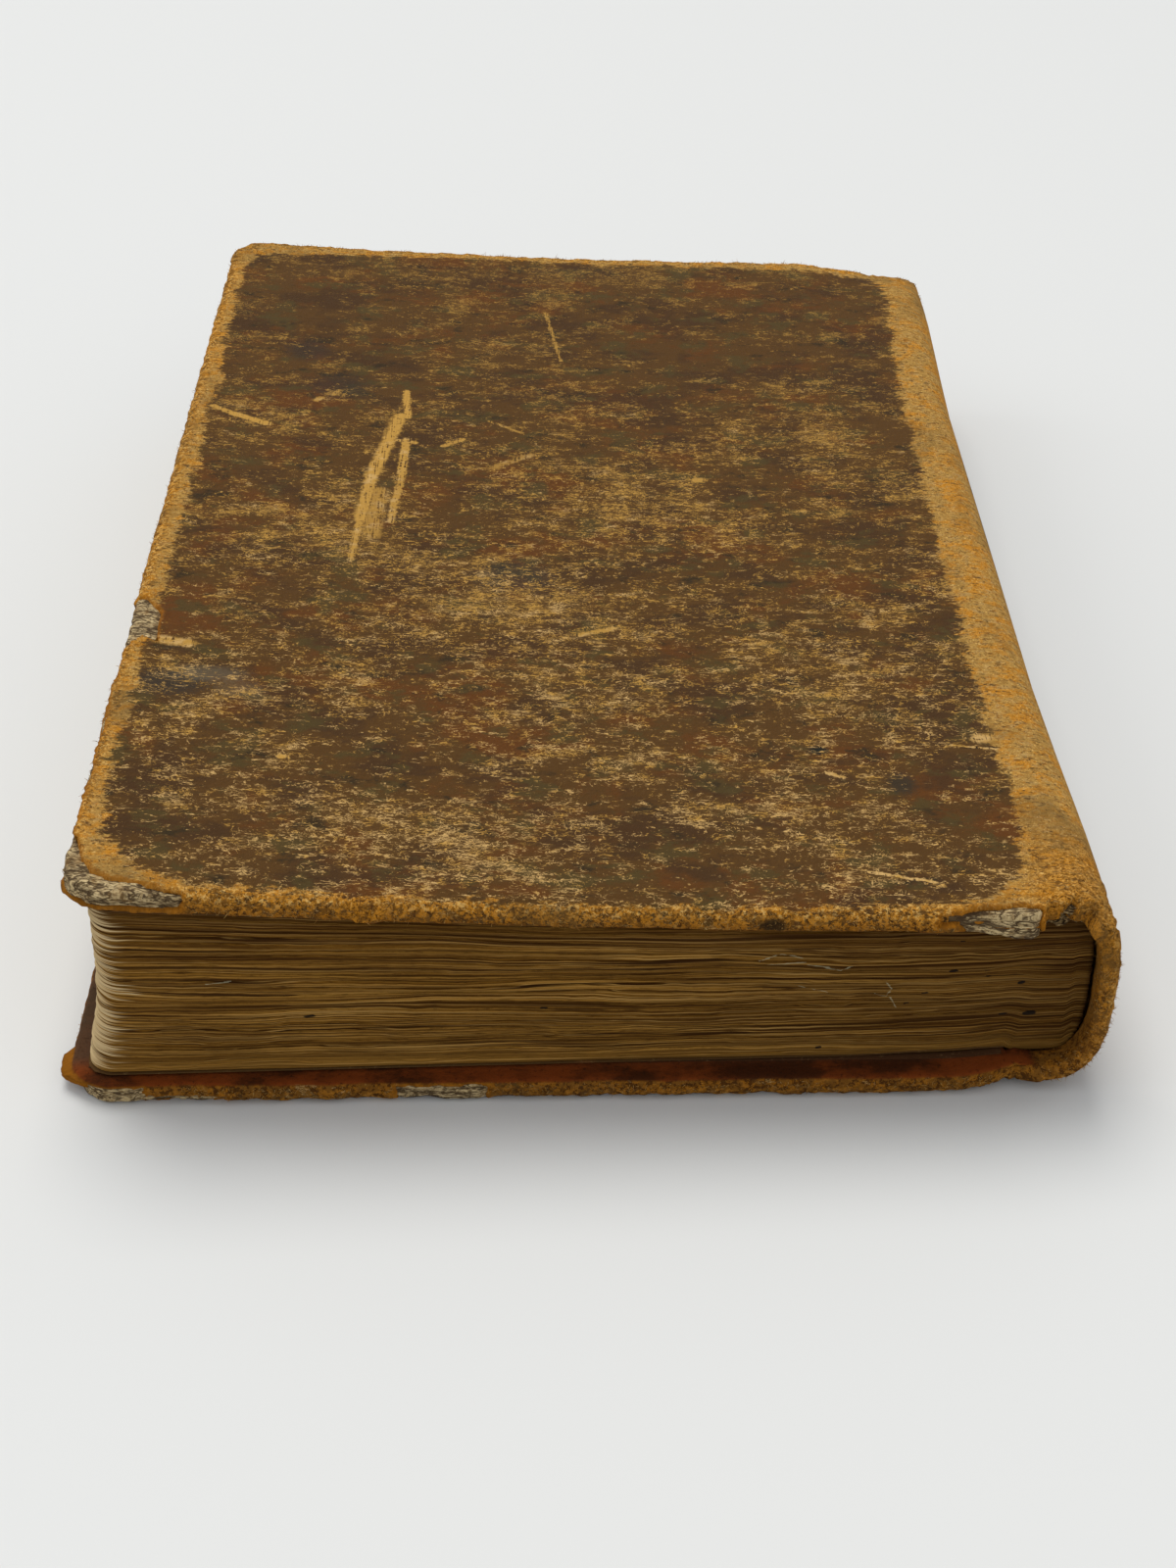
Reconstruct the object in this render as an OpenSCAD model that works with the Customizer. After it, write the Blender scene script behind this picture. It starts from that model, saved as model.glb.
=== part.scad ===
// Old full-leather octavo book, lying on its back board with its tail towards -Y and its spine towards +X.
// One hide covers both boards and the spine. It is divided here at its two joints, where the boards swing.
// The origin is under the middle of the book, on the surface that it lies on. Sizes are in millimetres.

/* [Pasteboards] */
// Width of each pasteboard from its fore-edge to the joint
board_w = 134; // [100:1:170]
// Height of each pasteboard from tail to head
board_h = 220; // [180:1:280]
// Thickness of each pasteboard
board_t = 2.4; // [2.2:0.1:4]
// Radius to which the outer corners of the boards are worn
corner_r = 5; // [2.5:0.5:9]
// How much higher the front board stands at its fore-edge than at its joint
board_rise = 6.2; // [0:0.1:9]
// How far the middle of the front board has sunk below its two ends
board_sag = 1.2; // [0:0.1:2]
// How far the front board has crept towards the spine
lean = 2.9; // [0:0.1:5]

/* [Hide] */
// Thickness of the hide
hide_t = 0.9; // [0.6:0.1:1.3]
// Thickness of the pared turn-ins on the inner faces of the boards
turn_t = 0.4; // [0.2:0.1:0.8]
// Width of the turn-ins, measured from the edges of the cover
turn_w = 15; // [8:1:24]
// Rounding of the outer edges of the covers
outer_round = 1.9; // [1:0.1:2.2]
// Rounding of the inner edges of the covers
inner_round = 0.9; // [0.3:0.1:1.1]
// Width of the flexible joint between a board and the line on which it swings
joint_w = 2; // [1.5:0.1:4]

/* [Spine] */
// Depth of the spine behind the joint edge of the back board
spine_depth = 12.9; // [10:0.1:18]
// Height of the underside of the spine above the surface
spine_lift = 1.2; // [0.6:0.1:2]
// How far the hide stands out over its turn-ins at the head and the tail
cap_flare = 1.7; // [0:0.1:3]
// Length of the turn-ins inside the spine at the head and the tail
cap_turn = 16; // [8:1:30]
// Thickness of the paper lining between the leaves and the hide
lining_t = 0.5; // [0.3:0.1:1]

/* [Leaves] */
// Thickness of the sewn leaves at the joint
block_t = 23.8; // [14:0.1:50]
// Number of folded gatherings in the sewn leaves
gatherings = 26; // [8:1:40]
// Width of board left showing beyond the fore-edge of the leaves
fore_square = 2.9; // [1:0.1:6]
// Width of board left showing beyond the tail and the head of the leaves
tail_square = 4; // [1:0.1:8]
// How far the leaves have dropped towards the tail at their fore-edge
leaf_drop = 3.2; // [0:0.1:4]
// How far the fore-edge of the leaves is hollowed
fore_hollow = 1.3; // [0:0.1:3]
// Radius to which the outer corners of the leaves are worn
leaf_corner = 3.5; // [1:0.5:8]
// Thickness of the endpapers
paper_t = 0.2; // [0.1:0.05:0.4]
// Room between the endpapers of the leaves and those of the boards
rest_gap = 0.3; // [0.2:0.05:0.6]

/* [Sewing] */
// Diameter of the cords that the gatherings are sewn on
cord_d = 2; // [1.2:0.1:2.1]
// Distance between neighbouring cords
cord_pitch = 46; // [30:1:50]
// Distance from the ends of the leaves to the kettle stitches
kettle_in = 13; // [8:1:20]
// Diameter of the sewing thread at the kettle stitches
thread_d = 0.9; // [0.6:0.1:1.2]
// Distance from the joint edge of a board to the hole that a cord is laced through
lace_in = 9; // [6:0.5:14]

/* [Hidden] */
FRONT = 1;
BACK = -1;
cord_count = 4;

// Play between pieces that are set into each other, and between the parts of the hide at its joints
fit_play = 0.02;
joint_play = 0.3;
board_play = 0.4;
// How much thinner the hide is pared where it flexes
flex_pare = 0.1;

// Depths below a cover's outer face: its board's inner face, its turn-ins, its paper, and the leaves
core_d = hide_t + board_t;
turned_d = core_d + turn_t;
cover_t = turned_d + paper_t;
under_d = cover_t + rest_gap + paper_t;
joint_z = 2 * under_d + block_t;

// Half of the cover's height and half of the leaves' height
half_h = board_h / 2 + hide_t;
leaf_half = half_h - tail_square;

// The boards' joint edges, the lines on which they swing, and the covers' fore-edges
back_edge_x = (board_w + hide_t - spine_depth - cap_flare) / 2;
front_edge_x = back_edge_x + lean;
back_joint_x = back_edge_x + joint_w;
front_joint_x = front_edge_x + joint_w;
back_fore_x = back_edge_x - board_w - hide_t;
front_fore_x = front_edge_x - board_w - hide_t;
back_bend_w = 13;
paper_margin = 3;
fan_l = 10;
fan_t = 0.3;

// The spine's outline is half of a rounded rectangle, squarer at the front board than at the back board
spine_cx = back_joint_x + joint_play / 2;
spine_cz = (spine_lift + joint_z) / 2;
spine_a = back_edge_x + spine_depth - spine_cx;
spine_b = (joint_z - spine_lift) / 2;
front_power = 3.9;
back_power = 3;
block_in = hide_t + lining_t;
block_a = spine_a - block_in - fit_play;
block_b = spine_b - block_in - fit_play;
knee_x = spine_cx + 0.8 * block_a;
flare_l = 60;
rim_round = 0.5;

// The depth of the valleys between gatherings, and the width of the shoulders outside and inside
valley = 0.25;
shoulder_w = 0.7;
shoulder_fan = 3;
flat_steps = 6;

// Worn places where the pasteboard shows, as [x from the fore-edge, y from the tail, radius of the wear]
front_wear = [[5, -4, 12], [128.5, -9.5, 11.4], [-0.6, 67, 5]];
back_wear = [[4, -4, 9], [55, -14.5, 16.1]];
// The hide is torn open at the tail of the front joint, as [x from the joint, y from the tail, radius]
tear = [2.4, -1, 4.4];

hide_colour = "saddlebrown";
paper_colour = "darkkhaki";
board_colour = "tan";
cord_colour = "wheat";

// Shared curves

function ease(t) = let (c = min(max(t, 0), 1)) c * c * (3 - 2 * c);

// Height of a cover's outer face: the front board is curled, and the back board bends up at its joint
function front_face(x) =
    let (u = (front_joint_x - x) / (front_joint_x - front_fore_x))
    joint_z + board_rise * u - 4 * board_sag * u * (1 - u);
function back_face(x) = spine_lift * pow(max(0, (x - back_joint_x + back_bend_w) / back_bend_w), 2);

// Height of the layer at a depth under the outer face of a cover
function cover_z(side, x, depth) = side == FRONT ? front_face(x) - depth : back_face(x) + depth;
function fore_x(side) = side == FRONT ? front_fore_x : back_fore_x;
function joint_x(side) = side == FRONT ? front_joint_x : back_joint_x;
function edge_x(side) = side == FRONT ? front_edge_x : back_edge_x;

// A point of the spine's outline, where t runs from -90 at the back joint to 90 at the front joint
function spine_power(t) = t > 0 ? front_power : back_power;
function spine_pt(t, a, b) = [
    spine_cx + a * pow(cos(t), 2 / spine_power(t)),
    spine_cz + sign(t) * b * pow(abs(sin(t)), 2 / spine_power(t))
];
// The outline's reach in X at a height, and its rise from the middle of the spine at a place in X
function spine_reach(z, a, b) =
    let (p = z > spine_cz ? front_power : back_power)
    spine_cx + a * pow(1 - pow(min(abs(z - spine_cz) / b, 1), p), 1 / p);
function spine_rise(x, a, b, p) = b * pow(1 - pow(min(max(x - spine_cx, 0) / a, 1), p), 1 / p);
// The value of t at which the outline meets the front joint
function joint_t(a) = acos(pow((front_joint_x + joint_play / 2 - spine_cx) / a, front_power / 2));

// How far the hide stands out at a distance from the middle of the spine
function flare(y) = cap_flare * ease((abs(y) - half_h + flare_l + cap_turn / 2) / flare_l);
// How far an edge of radius r has fallen at distance e from its outline
function fall(e, r) = e >= r ? 0 : r - sqrt(r * r - (r - e) * (r - e));

// A level w of the leaves runs from 0 at the back to 1 at the front. Between the boards it is even, and past
// the foot of the shoulders it fans out to the spine, in a short step outside and a long slope inside.
function foot_x(w) = back_edge_x + board_play + lean * w - 2 * shoulder_fan * w * (1 - w);
function foot_w(w) = shoulder_w + 4 * shoulder_fan * w * (1 - w);
function level_z(x, w) =
    let (
        flat_low = back_face(x) + under_d,
        flat_high = front_face(x) - under_d,
        fan_low = spine_cz - spine_rise(min(x, knee_x), block_a, block_b, back_power),
        fan_high = spine_cz + spine_rise(min(x, knee_x), block_a, block_b, front_power),
        k = ease((x - foot_x(w)) / foot_w(w))
    )
    (1 - w) * (flat_low + k * (fan_low - flat_low)) + w * (flat_high + k * (fan_high - flat_high));
function leaf_fore_x(w) = fore_square + back_fore_x + lean * w + 4 * fore_hollow * w * (1 - w);
function leaf_back_x(w) = spine_reach(level_z(knee_x, w), block_a, block_b);
// Half of the leaves' height at a distance from the fore-edge, with its worn corner, and the drop there
function leaf_reach(from_fore) = leaf_half - fall(from_fore, leaf_corner);
function leaf_shift(x) = -leaf_drop * min(max((knee_x - x) / (knee_x - back_fore_x), 0), 1);

function cord_y(i) = (i - (cord_count - 1) / 2) * cord_pitch;

// Solids from stacks of rings

// Joins equal rings of points with triangles. Each ring is a strip: its second half runs back beside its
// first, and closes it. ccw says that the rings turn anticlockwise, seen from where the stack leads.
module loft(rings, ccw = true) {
    n = len(rings[0]);
    m = n / 2;
    last = (len(rings) - 1) * n;
    sides = [
        for (i = [0:len(rings) - 2], j = [0:n - 1], half = [0, 1])
            let (a = i * n + j, b = i * n + (j + 1) % n)
            half == 0 ? [a, b, b + n] : [a, b + n, a + n]
    ];
    near_end = [
        for (j = [0:m - 2], half = [0, 1])
            half == 0 ? [j, n - 2 - j, j + 1] : [j, n - 1 - j, n - 2 - j]
    ];
    far_end = [for (f = near_end) [last + f[0], last + f[2], last + f[1]]];
    faces = concat(sides, near_end, far_end);
    polyhedron([for (r = rings, p = r) p], ccw ? [for (f = faces) [f[0], f[2], f[1]]] : faces, convexity = 6);
}

// Stations across a plate: close together where its edge is rounded, and even where it is bent
function plate_xs(side, x0, x1, r) =
    let (
        rounded = r > 0 ? [for (k = [0, 0.1, 0.35, 0.65]) x0 + k * r] : [],
        bend = side == FRONT ? x0 + r : max(x0 + r, back_joint_x - back_bend_w),
        flat = bend > x0 + r ? [x0 + r] : [],
        n = max(1, round((x1 - bend) / (side == FRONT ? 15 : 3)))
    )
    concat(rounded, flat, [for (i = [0:n]) bend + (x1 - bend) * i / n]);

// Stations from the middle of a plate out to its tail or its head
function plate_ys(h, corner, r) = concat(
    corner > 0 ? [for (k = [-2, 0, 0.4, 0.75]) h - corner + k * (corner - r)] : [],
    r > 0 ? [for (k = [1, 0.65, 0.35, 0.1]) h - k * r] : (corner > 0 ? [h - corner * 0.08] : []),
    [h]
);

// A layer of a cover between two depths, from x0 to x1, and out to h at the tail and the head
module plate(side, d0, d1, x0, x1, h, corner = 0, r_out = 0, r_in = 0) {
    out = plate_ys(h, corner, r_out);
    ys = concat([for (i = [len(out) - 1:-1:0]) -out[i]], out);
    xs = plate_xs(side, x0, x1, r_out);
    m = len(xs);
    loft([
        for (y = ys)
            let (
                inset = corner > 0 ? fall(h - abs(y), corner) : 0,
                e = h - abs(y)
            )
            [
                for (j = [0:2 * m - 1])
                    let (
                        outer = j < m,
                        base = xs[outer ? j : 2 * m - 1 - j],
                        x = base + inset * (x1 - base) / (x1 - x0),
                        r = outer ? r_out : r_in,
                        kx = r > 0 ? max(0, 1 - (x - x0 - inset) / r) : 0,
                        ky = r > 0 ? max(0, 1 - e / r) : 0,
                        drop = r * (1 - sqrt(1 - min(1, kx * kx + ky * ky)))
                    )
                    [x, y, cover_z(side, x, outer ? d0 + drop : d1 - drop)]
            ]
    ], ccw = side == FRONT);
}

// The covers

// The whole outer form of a cover, with its edges worn round
module cover_form(side) {
    plate(side, 0, turned_d, fore_x(side), joint_x(side) - joint_play / 2, half_h,
          corner_r + hide_t, outer_round, inner_round);
}

// Where the hide is worn through to the board, down to the turn-ins
module wear(side, grow = 0) {
    intersection() {
        plate(side, -2, core_d + turn_t / 4 + grow, fore_x(side) - 1, joint_x(side), half_h + 1);
        for (p = side == FRONT ? front_wear : back_wear)
            translate([fore_x(side) + p[0], p[1] - half_h, 0])
                cylinder(h = 3 * joint_z, r = p[2] + grow, $fn = 48, center = true);
    }
}

// The way of a cord through a board: in from the joint edge, down a hole and out into a frayed fan
module lacing(side, y, grow = 0) {
    r = cord_d / 2 + grow;
    x0 = edge_x(side) - lace_in;
    z0 = cover_z(side, x0, hide_t + cord_d / 2);
    run = [lace_in + grow, cover_z(side, edge_x(side), hide_t + cord_d / 2) - z0];
    fan_z = cover_z(side, x0 - fan_l, core_d) - (side == FRONT ? grow : fan_t + grow);
    fan_h = fan_t + 2 * grow;
    translate([x0, y, z0])
        rotate([0, 90 - atan2(run[1], run[0]), 0])
            cylinder(h = norm(run), r = r, $fn = 24);
    translate([x0, y, side == FRONT ? fan_z : z0 - r / 2])
        cylinder(h = r / 2 + (side == FRONT ? z0 - fan_z : fan_z + fan_h - z0), r = 1.1 * r, $fn = 24);
    translate([x0, y, fan_z])
        linear_extrude(fan_h)
            polygon([[r, -r], [r, r], [-fan_l - grow, fan_l / 2 + grow], [-fan_l - grow, -fan_l / 2 - grow]]);
}

module board(side) {
    color(board_colour)
    difference() {
        union() {
            plate(side, hide_t, core_d, fore_x(side) + hide_t, edge_x(side), board_h / 2, corner_r);
            intersection() {
                cover_form(side);
                wear(side);
            }
        }
        for (i = [0:cord_count - 1])
            lacing(side, cord_y(i), fit_play);
    }
}

// The turn-ins leave the middle of the board's inner face bare, and none crosses the joint
module bare_field(side, depth) {
    plate(side, depth, turned_d + 2, fore_x(side) + turn_w, joint_x(side), half_h - turn_w);
}

module hide(side) {
    color(hide_colour)
    difference() {
        cover_form(side);
        plate(side, hide_t - fit_play, core_d + fit_play, fore_x(side) + hide_t - fit_play, edge_x(side),
              board_h / 2 + fit_play, corner_r);
        wear(side, fit_play);
        bare_field(side, hide_t + board_t / 2);
        plate(side, hide_t - flex_pare, turned_d + 2, edge_x(side) - joint_play, joint_x(side), half_h + 1);
        if (side == FRONT)
            joint_tear();
    }
}

// Paper pasted on the board, which steps up over the turn-ins
module pastedown(side) {
    x1 = edge_x(side) - fit_play;
    far = fore_x(side) + turn_w + fit_play;
    h = half_h - turn_w - fit_play;
    color(paper_colour)
    difference() {
        plate(side, core_d + fit_play, cover_t, fore_x(side) + paper_margin, x1, half_h - paper_margin);
        difference() {
            plate(side, core_d - 1, turned_d + fit_play, fore_x(side), x1 + 1, half_h);
            plate(side, core_d - 2, turned_d + 1, far, x1 + 2, h);
        }
        plate(side, core_d + fit_play + paper_t, cover_t + 1, far + paper_t, x1 + 1, h - paper_t);
    }
}

module joint_tear() {
    translate([front_joint_x + tear[0], tear[1] - half_h, joint_z - 6])
        cylinder(h = 12, r = tear[2], $fn = 48);
}

// The spine

// A skin round the spine between two insets, from t0 to t1, with stations along Y.
// Each station is [y, how far the skin stands out, its inner face's inset, how far both faces are worn].
module spine_skin(stations, out, t0, t1, steps) {
    loft([
        for (s = stations)
            let (
                ao = spine_a - out + s[1] - s[3],
                bo = spine_b - out - s[3],
                ai = spine_a - s[2] + s[3],
                bi = spine_b - s[2] + s[3],
                to = min(t1, joint_t(ao)),
                ti = min(t1, joint_t(ai))
            )
            concat(
                [for (k = [0:steps]) let (q = spine_pt(t0 + (to - t0) * k / steps, ao, bo)) [q[0], s[0], q[1]]],
                [for (k = [steps:-1:0]) let (q = spine_pt(t0 + (ti - t0) * k / steps, ai, bi)) [q[0], s[0], q[1]]]
            )
    ], ccw = false);
}

module spine_hide() {
    turn_from = half_h - cap_turn;
    rim = [for (k = [0.1, 0.4, 1]) half_h - k * rim_round];
    out = concat([half_h, rim[0], rim[1], rim[2], half_h - 5, turn_from + 1.5, turn_from],
                 [for (k = [0.75, 0.5, 0.25, 0]) half_h - cap_turn / 2 - flare_l + k * (flare_l - cap_turn / 2)]);
    ys = concat([for (y = out) -y], [for (i = [len(out) - 1:-1:0]) out[i]]);
    color(hide_colour)
    difference() {
        spine_skin([
            for (y = ys) [
                y, flare(y),
                hide_t + (lining_t - fit_play) * ease((abs(y) - turn_from) / 1.5),
                fall(half_h - abs(y), rim_round)
            ]
        ], 0, -90, 90, 30);
        joint_tear();
    }
}

module spine_lining() {
    h = half_h - cap_turn - joint_play;
    color(paper_colour)
        spine_skin([[-h, 0, block_in, 0], [h, 0, block_in, 0]], hide_t + 2 * fit_play, -60, 62, 28);
}

// The leaves

// Stations across the leaves at level w, from the fore-edge to the spine
function leaf_xs(w) =
    let (
        x0 = leaf_fore_x(w),
        x1 = leaf_back_x(w),
        foot = foot_x(w),
        top = foot + foot_w(w)
    )
    concat(
        [for (k = [0, 0.08, 0.35, 1]) x0 + k * leaf_corner],
        [for (k = [1:flat_steps]) x0 + leaf_corner + (foot - x0 - leaf_corner) * k / flat_steps],
        [for (k = [0.5, 1]) foot + k * (top - foot)],
        [for (k = [1:2]) top + (x1 - top) * k / 2]
    );

module text_block() {
    levels = 2 * gatherings;
    color(paper_colour)
    difference() {
        loft([
            for (k = [0:levels])
                let (
                    w = k / levels,
                    dip = k % 2 == 0 && k > 0 && k < levels ? valley : 0,
                    xs = leaf_xs(w),
                    n = len(xs)
                )
                [
                    for (j = [0:2 * n - 1])
                        let (
                            tail = j < n,
                            i = tail ? j : 2 * n - 1 - j,
                            x = xs[i],
                            reach = leaf_reach(x - xs[0]) - dip
                        )
                        [
                            i == 0 ? x + dip : x,
                            (tail ? -reach : reach) + leaf_shift(x),
                            level_z(x, w)
                        ]
                ]
        ]);
        for (i = [0:cord_count - 1])
            kerf(cord_y(i), cord_d + 2 * fit_play);
        for (end = [-1, 1])
            kerf(end * (leaf_half - kettle_in), thread_d + 2 * fit_play);
    }
}

// A saw cut across the folds of the gatherings, as deep as it is wide, in which a cord lies
module kerf(y, size) {
    translate([0, y + size / 2, 0])
        rotate([90, 0, 0])
            linear_extrude(size)
                difference() {
                    translate([spine_cx, 0])
                        square([spine_depth, joint_z]);
                    polygon([for (k = [0:20]) spine_pt(-90 + 9 * k, block_a - size, block_b - size)]);
                }
}

// A round cord that lies in its kerf over the back of the leaves
module cord_over(y, d, sides) {
    steps = 12;
    a = block_a - d / 2;
    b = block_b - d / 2;
    ts = [for (k = [0:steps]) -80 + 160 * k / steps];
    loft([
        for (t = ts)
            let (
                p = spine_pt(t, a, b),
                ahead = spine_pt(t + 1, a, b) - spine_pt(t - 1, a, b),
                out = [ahead[1], -ahead[0]] / norm(ahead)
            )
            [
                for (q = [0:sides - 1])
                    let (c = d / 2 * cos((q + 0.5) * 360 / sides), s = d / 2 * sin((q + 0.5) * 360 / sides))
                    [p[0] + c * out[0], y + s, p[1] + c * out[1]]
            ]
    ]);
}

module sewing_cord(i) {
    color(cord_colour)
        cord_over(cord_y(i), cord_d, 8);
}

module kettle_stitch(end) {
    color(cord_colour)
        cord_over(end * (leaf_half - kettle_in), thread_d, 6);
}

// The free leaf at either end of the sewn leaves
module flyleaf(side) {
    xs = leaf_xs(side == FRONT ? 1 : 0);
    color(paper_colour)
    loft([
        for (i = [0:3 + flat_steps])
            let (
                x = xs[i],
                tail = leaf_shift(x) - leaf_reach(x - xs[0]),
                head = leaf_shift(x) + leaf_reach(x - xs[0]),
                za = cover_z(side, x, under_d - fit_play),
                zb = cover_z(side, x, under_d - paper_t),
                low = min(za, zb),
                high = max(za, zb)
            )
            [[x, tail, low], [x, head, low], [x, head, high], [x, tail, high]]
    ]);
}

module slip(side, i) {
    color(cord_colour)
        lacing(side, cord_y(i));
}

text_block();
flyleaf(FRONT);  // front_flyleaf
flyleaf(BACK);  // back_flyleaf
spine_lining();
for (i = [0:cord_count - 1]) {
    sewing_cord(i);
    slip(FRONT, i);
    slip(BACK, i);
}
kettle_stitch(-1);  // kettle_stitch_tail
kettle_stitch(1);  // kettle_stitch_head
spine_hide();
board(FRONT);  // front_board
hide(FRONT);  // front_hide
pastedown(FRONT);  // front_pastedown
board(BACK);  // back_board
hide(BACK);  // back_hide
pastedown(BACK);  // back_pastedown
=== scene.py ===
"""Dresses an old full-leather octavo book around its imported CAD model.

The hide, the pasteboards and the leaves are new surfaces on the CAD's own curves. The endpapers, the
sewing and the slips stay CAD nodes and get finishes. Lengths are in millimetres until a mesh is made.
"""

import logging
import math
from dataclasses import dataclass, field
from enum import Enum

import bmesh
import bpy
import numpy as np
from mathutils import Matrix, Vector

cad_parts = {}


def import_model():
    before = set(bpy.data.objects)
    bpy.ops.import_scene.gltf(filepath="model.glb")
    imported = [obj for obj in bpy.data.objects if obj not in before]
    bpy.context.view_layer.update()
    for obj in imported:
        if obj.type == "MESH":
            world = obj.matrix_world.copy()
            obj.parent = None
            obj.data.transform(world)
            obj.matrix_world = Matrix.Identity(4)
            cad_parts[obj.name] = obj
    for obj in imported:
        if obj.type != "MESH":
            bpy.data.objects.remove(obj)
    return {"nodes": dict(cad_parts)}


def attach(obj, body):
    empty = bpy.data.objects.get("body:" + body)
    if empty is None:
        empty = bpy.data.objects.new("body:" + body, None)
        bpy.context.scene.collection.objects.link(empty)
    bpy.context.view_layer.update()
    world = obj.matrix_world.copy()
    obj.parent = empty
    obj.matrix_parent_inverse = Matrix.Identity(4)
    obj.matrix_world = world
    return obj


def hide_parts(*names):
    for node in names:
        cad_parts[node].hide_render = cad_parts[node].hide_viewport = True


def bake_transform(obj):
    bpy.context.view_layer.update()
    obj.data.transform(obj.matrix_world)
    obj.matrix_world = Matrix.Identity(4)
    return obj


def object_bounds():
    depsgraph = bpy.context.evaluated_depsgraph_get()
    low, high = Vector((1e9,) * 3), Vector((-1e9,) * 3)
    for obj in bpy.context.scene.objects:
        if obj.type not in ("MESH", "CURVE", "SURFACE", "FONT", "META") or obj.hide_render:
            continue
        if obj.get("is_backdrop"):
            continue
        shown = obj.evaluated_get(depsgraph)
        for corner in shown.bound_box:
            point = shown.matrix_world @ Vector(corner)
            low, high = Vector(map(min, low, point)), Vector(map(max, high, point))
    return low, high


LOG = logging.getLogger("old_book")
MM = 0.001

# Lengths in millimetres: under which vertices merge, for far outside a place, and for far from an edge
WELD = 1e-4
OUTSIDE = -50.0
FAR_FROM_EDGE = 20.0
Array = np.ndarray


class Side(Enum):
    """The two covers."""

    FRONT = "front"
    BACK = "back"


def ease(t: Array) -> Array:
    """Smooth step from 0 to 1: three times t squared less twice t cubed, with t held between 0 and 1."""
    c = np.clip(t, 0.0, 1.0)
    return c * c * (3 - 2 * c)


def hump(t: Array) -> Array:
    """A bell of height 1 at t = 0: e to the power of minus t squared."""
    return np.exp(-np.square(t))


class Grain:
    """Smooth random fields over space, from one seeded lattice of numbers."""

    CELLS = 32

    def __init__(self, seed: int) -> None:
        """Draws the lattice.

        Args:
            seed: What the random numbers start from.
        """
        self.lattice = np.random.default_rng(seed).uniform(-1.0, 1.0, (self.CELLS,) * 3)

    def field(self, points: Array, cell: float | tuple[float, float, float]) -> Array:
        """Blends the eight lattice numbers round each point with smooth weights.

        Args:
            points: Places in millimetres, with three numbers each.
            cell: The lattice's pitch in millimetres, one number or one for each axis.

        Returns:
            One number from -1 to 1 for each point.
        """
        q = points / np.asarray(cell, float) + 0.37
        low = np.floor(q).astype(int)
        w = q - low
        w = w * w * (3 - 2 * w)
        n = self.CELLS
        out = 0.0
        for corner in range(8):
            step = np.array([corner & 1, corner >> 1 & 1, corner >> 2 & 1])
            i = (low + step) % n
            share = np.prod(np.where(step == 1, w, 1 - w), axis=-1)
            out = out + share * self.lattice[i[..., 0], i[..., 1], i[..., 2]]
        return out

    def rough(self, points: Array, cell: float | tuple[float, float, float], layers: int = 3) -> Array:
        """Adds fields of ever half the pitch and half the height.

        Args:
            points: Places in millimetres.
            cell: The first field's pitch.
            layers: How many fields are added.

        Returns:
            One number for each point, mostly from -1 to 1.
        """
        size = np.asarray(cell, float)
        return sum(
            self.field(points + 7.3 * k, size / 2**k) * 0.5**k for k in range(layers)
        ) / 1.4


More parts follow.
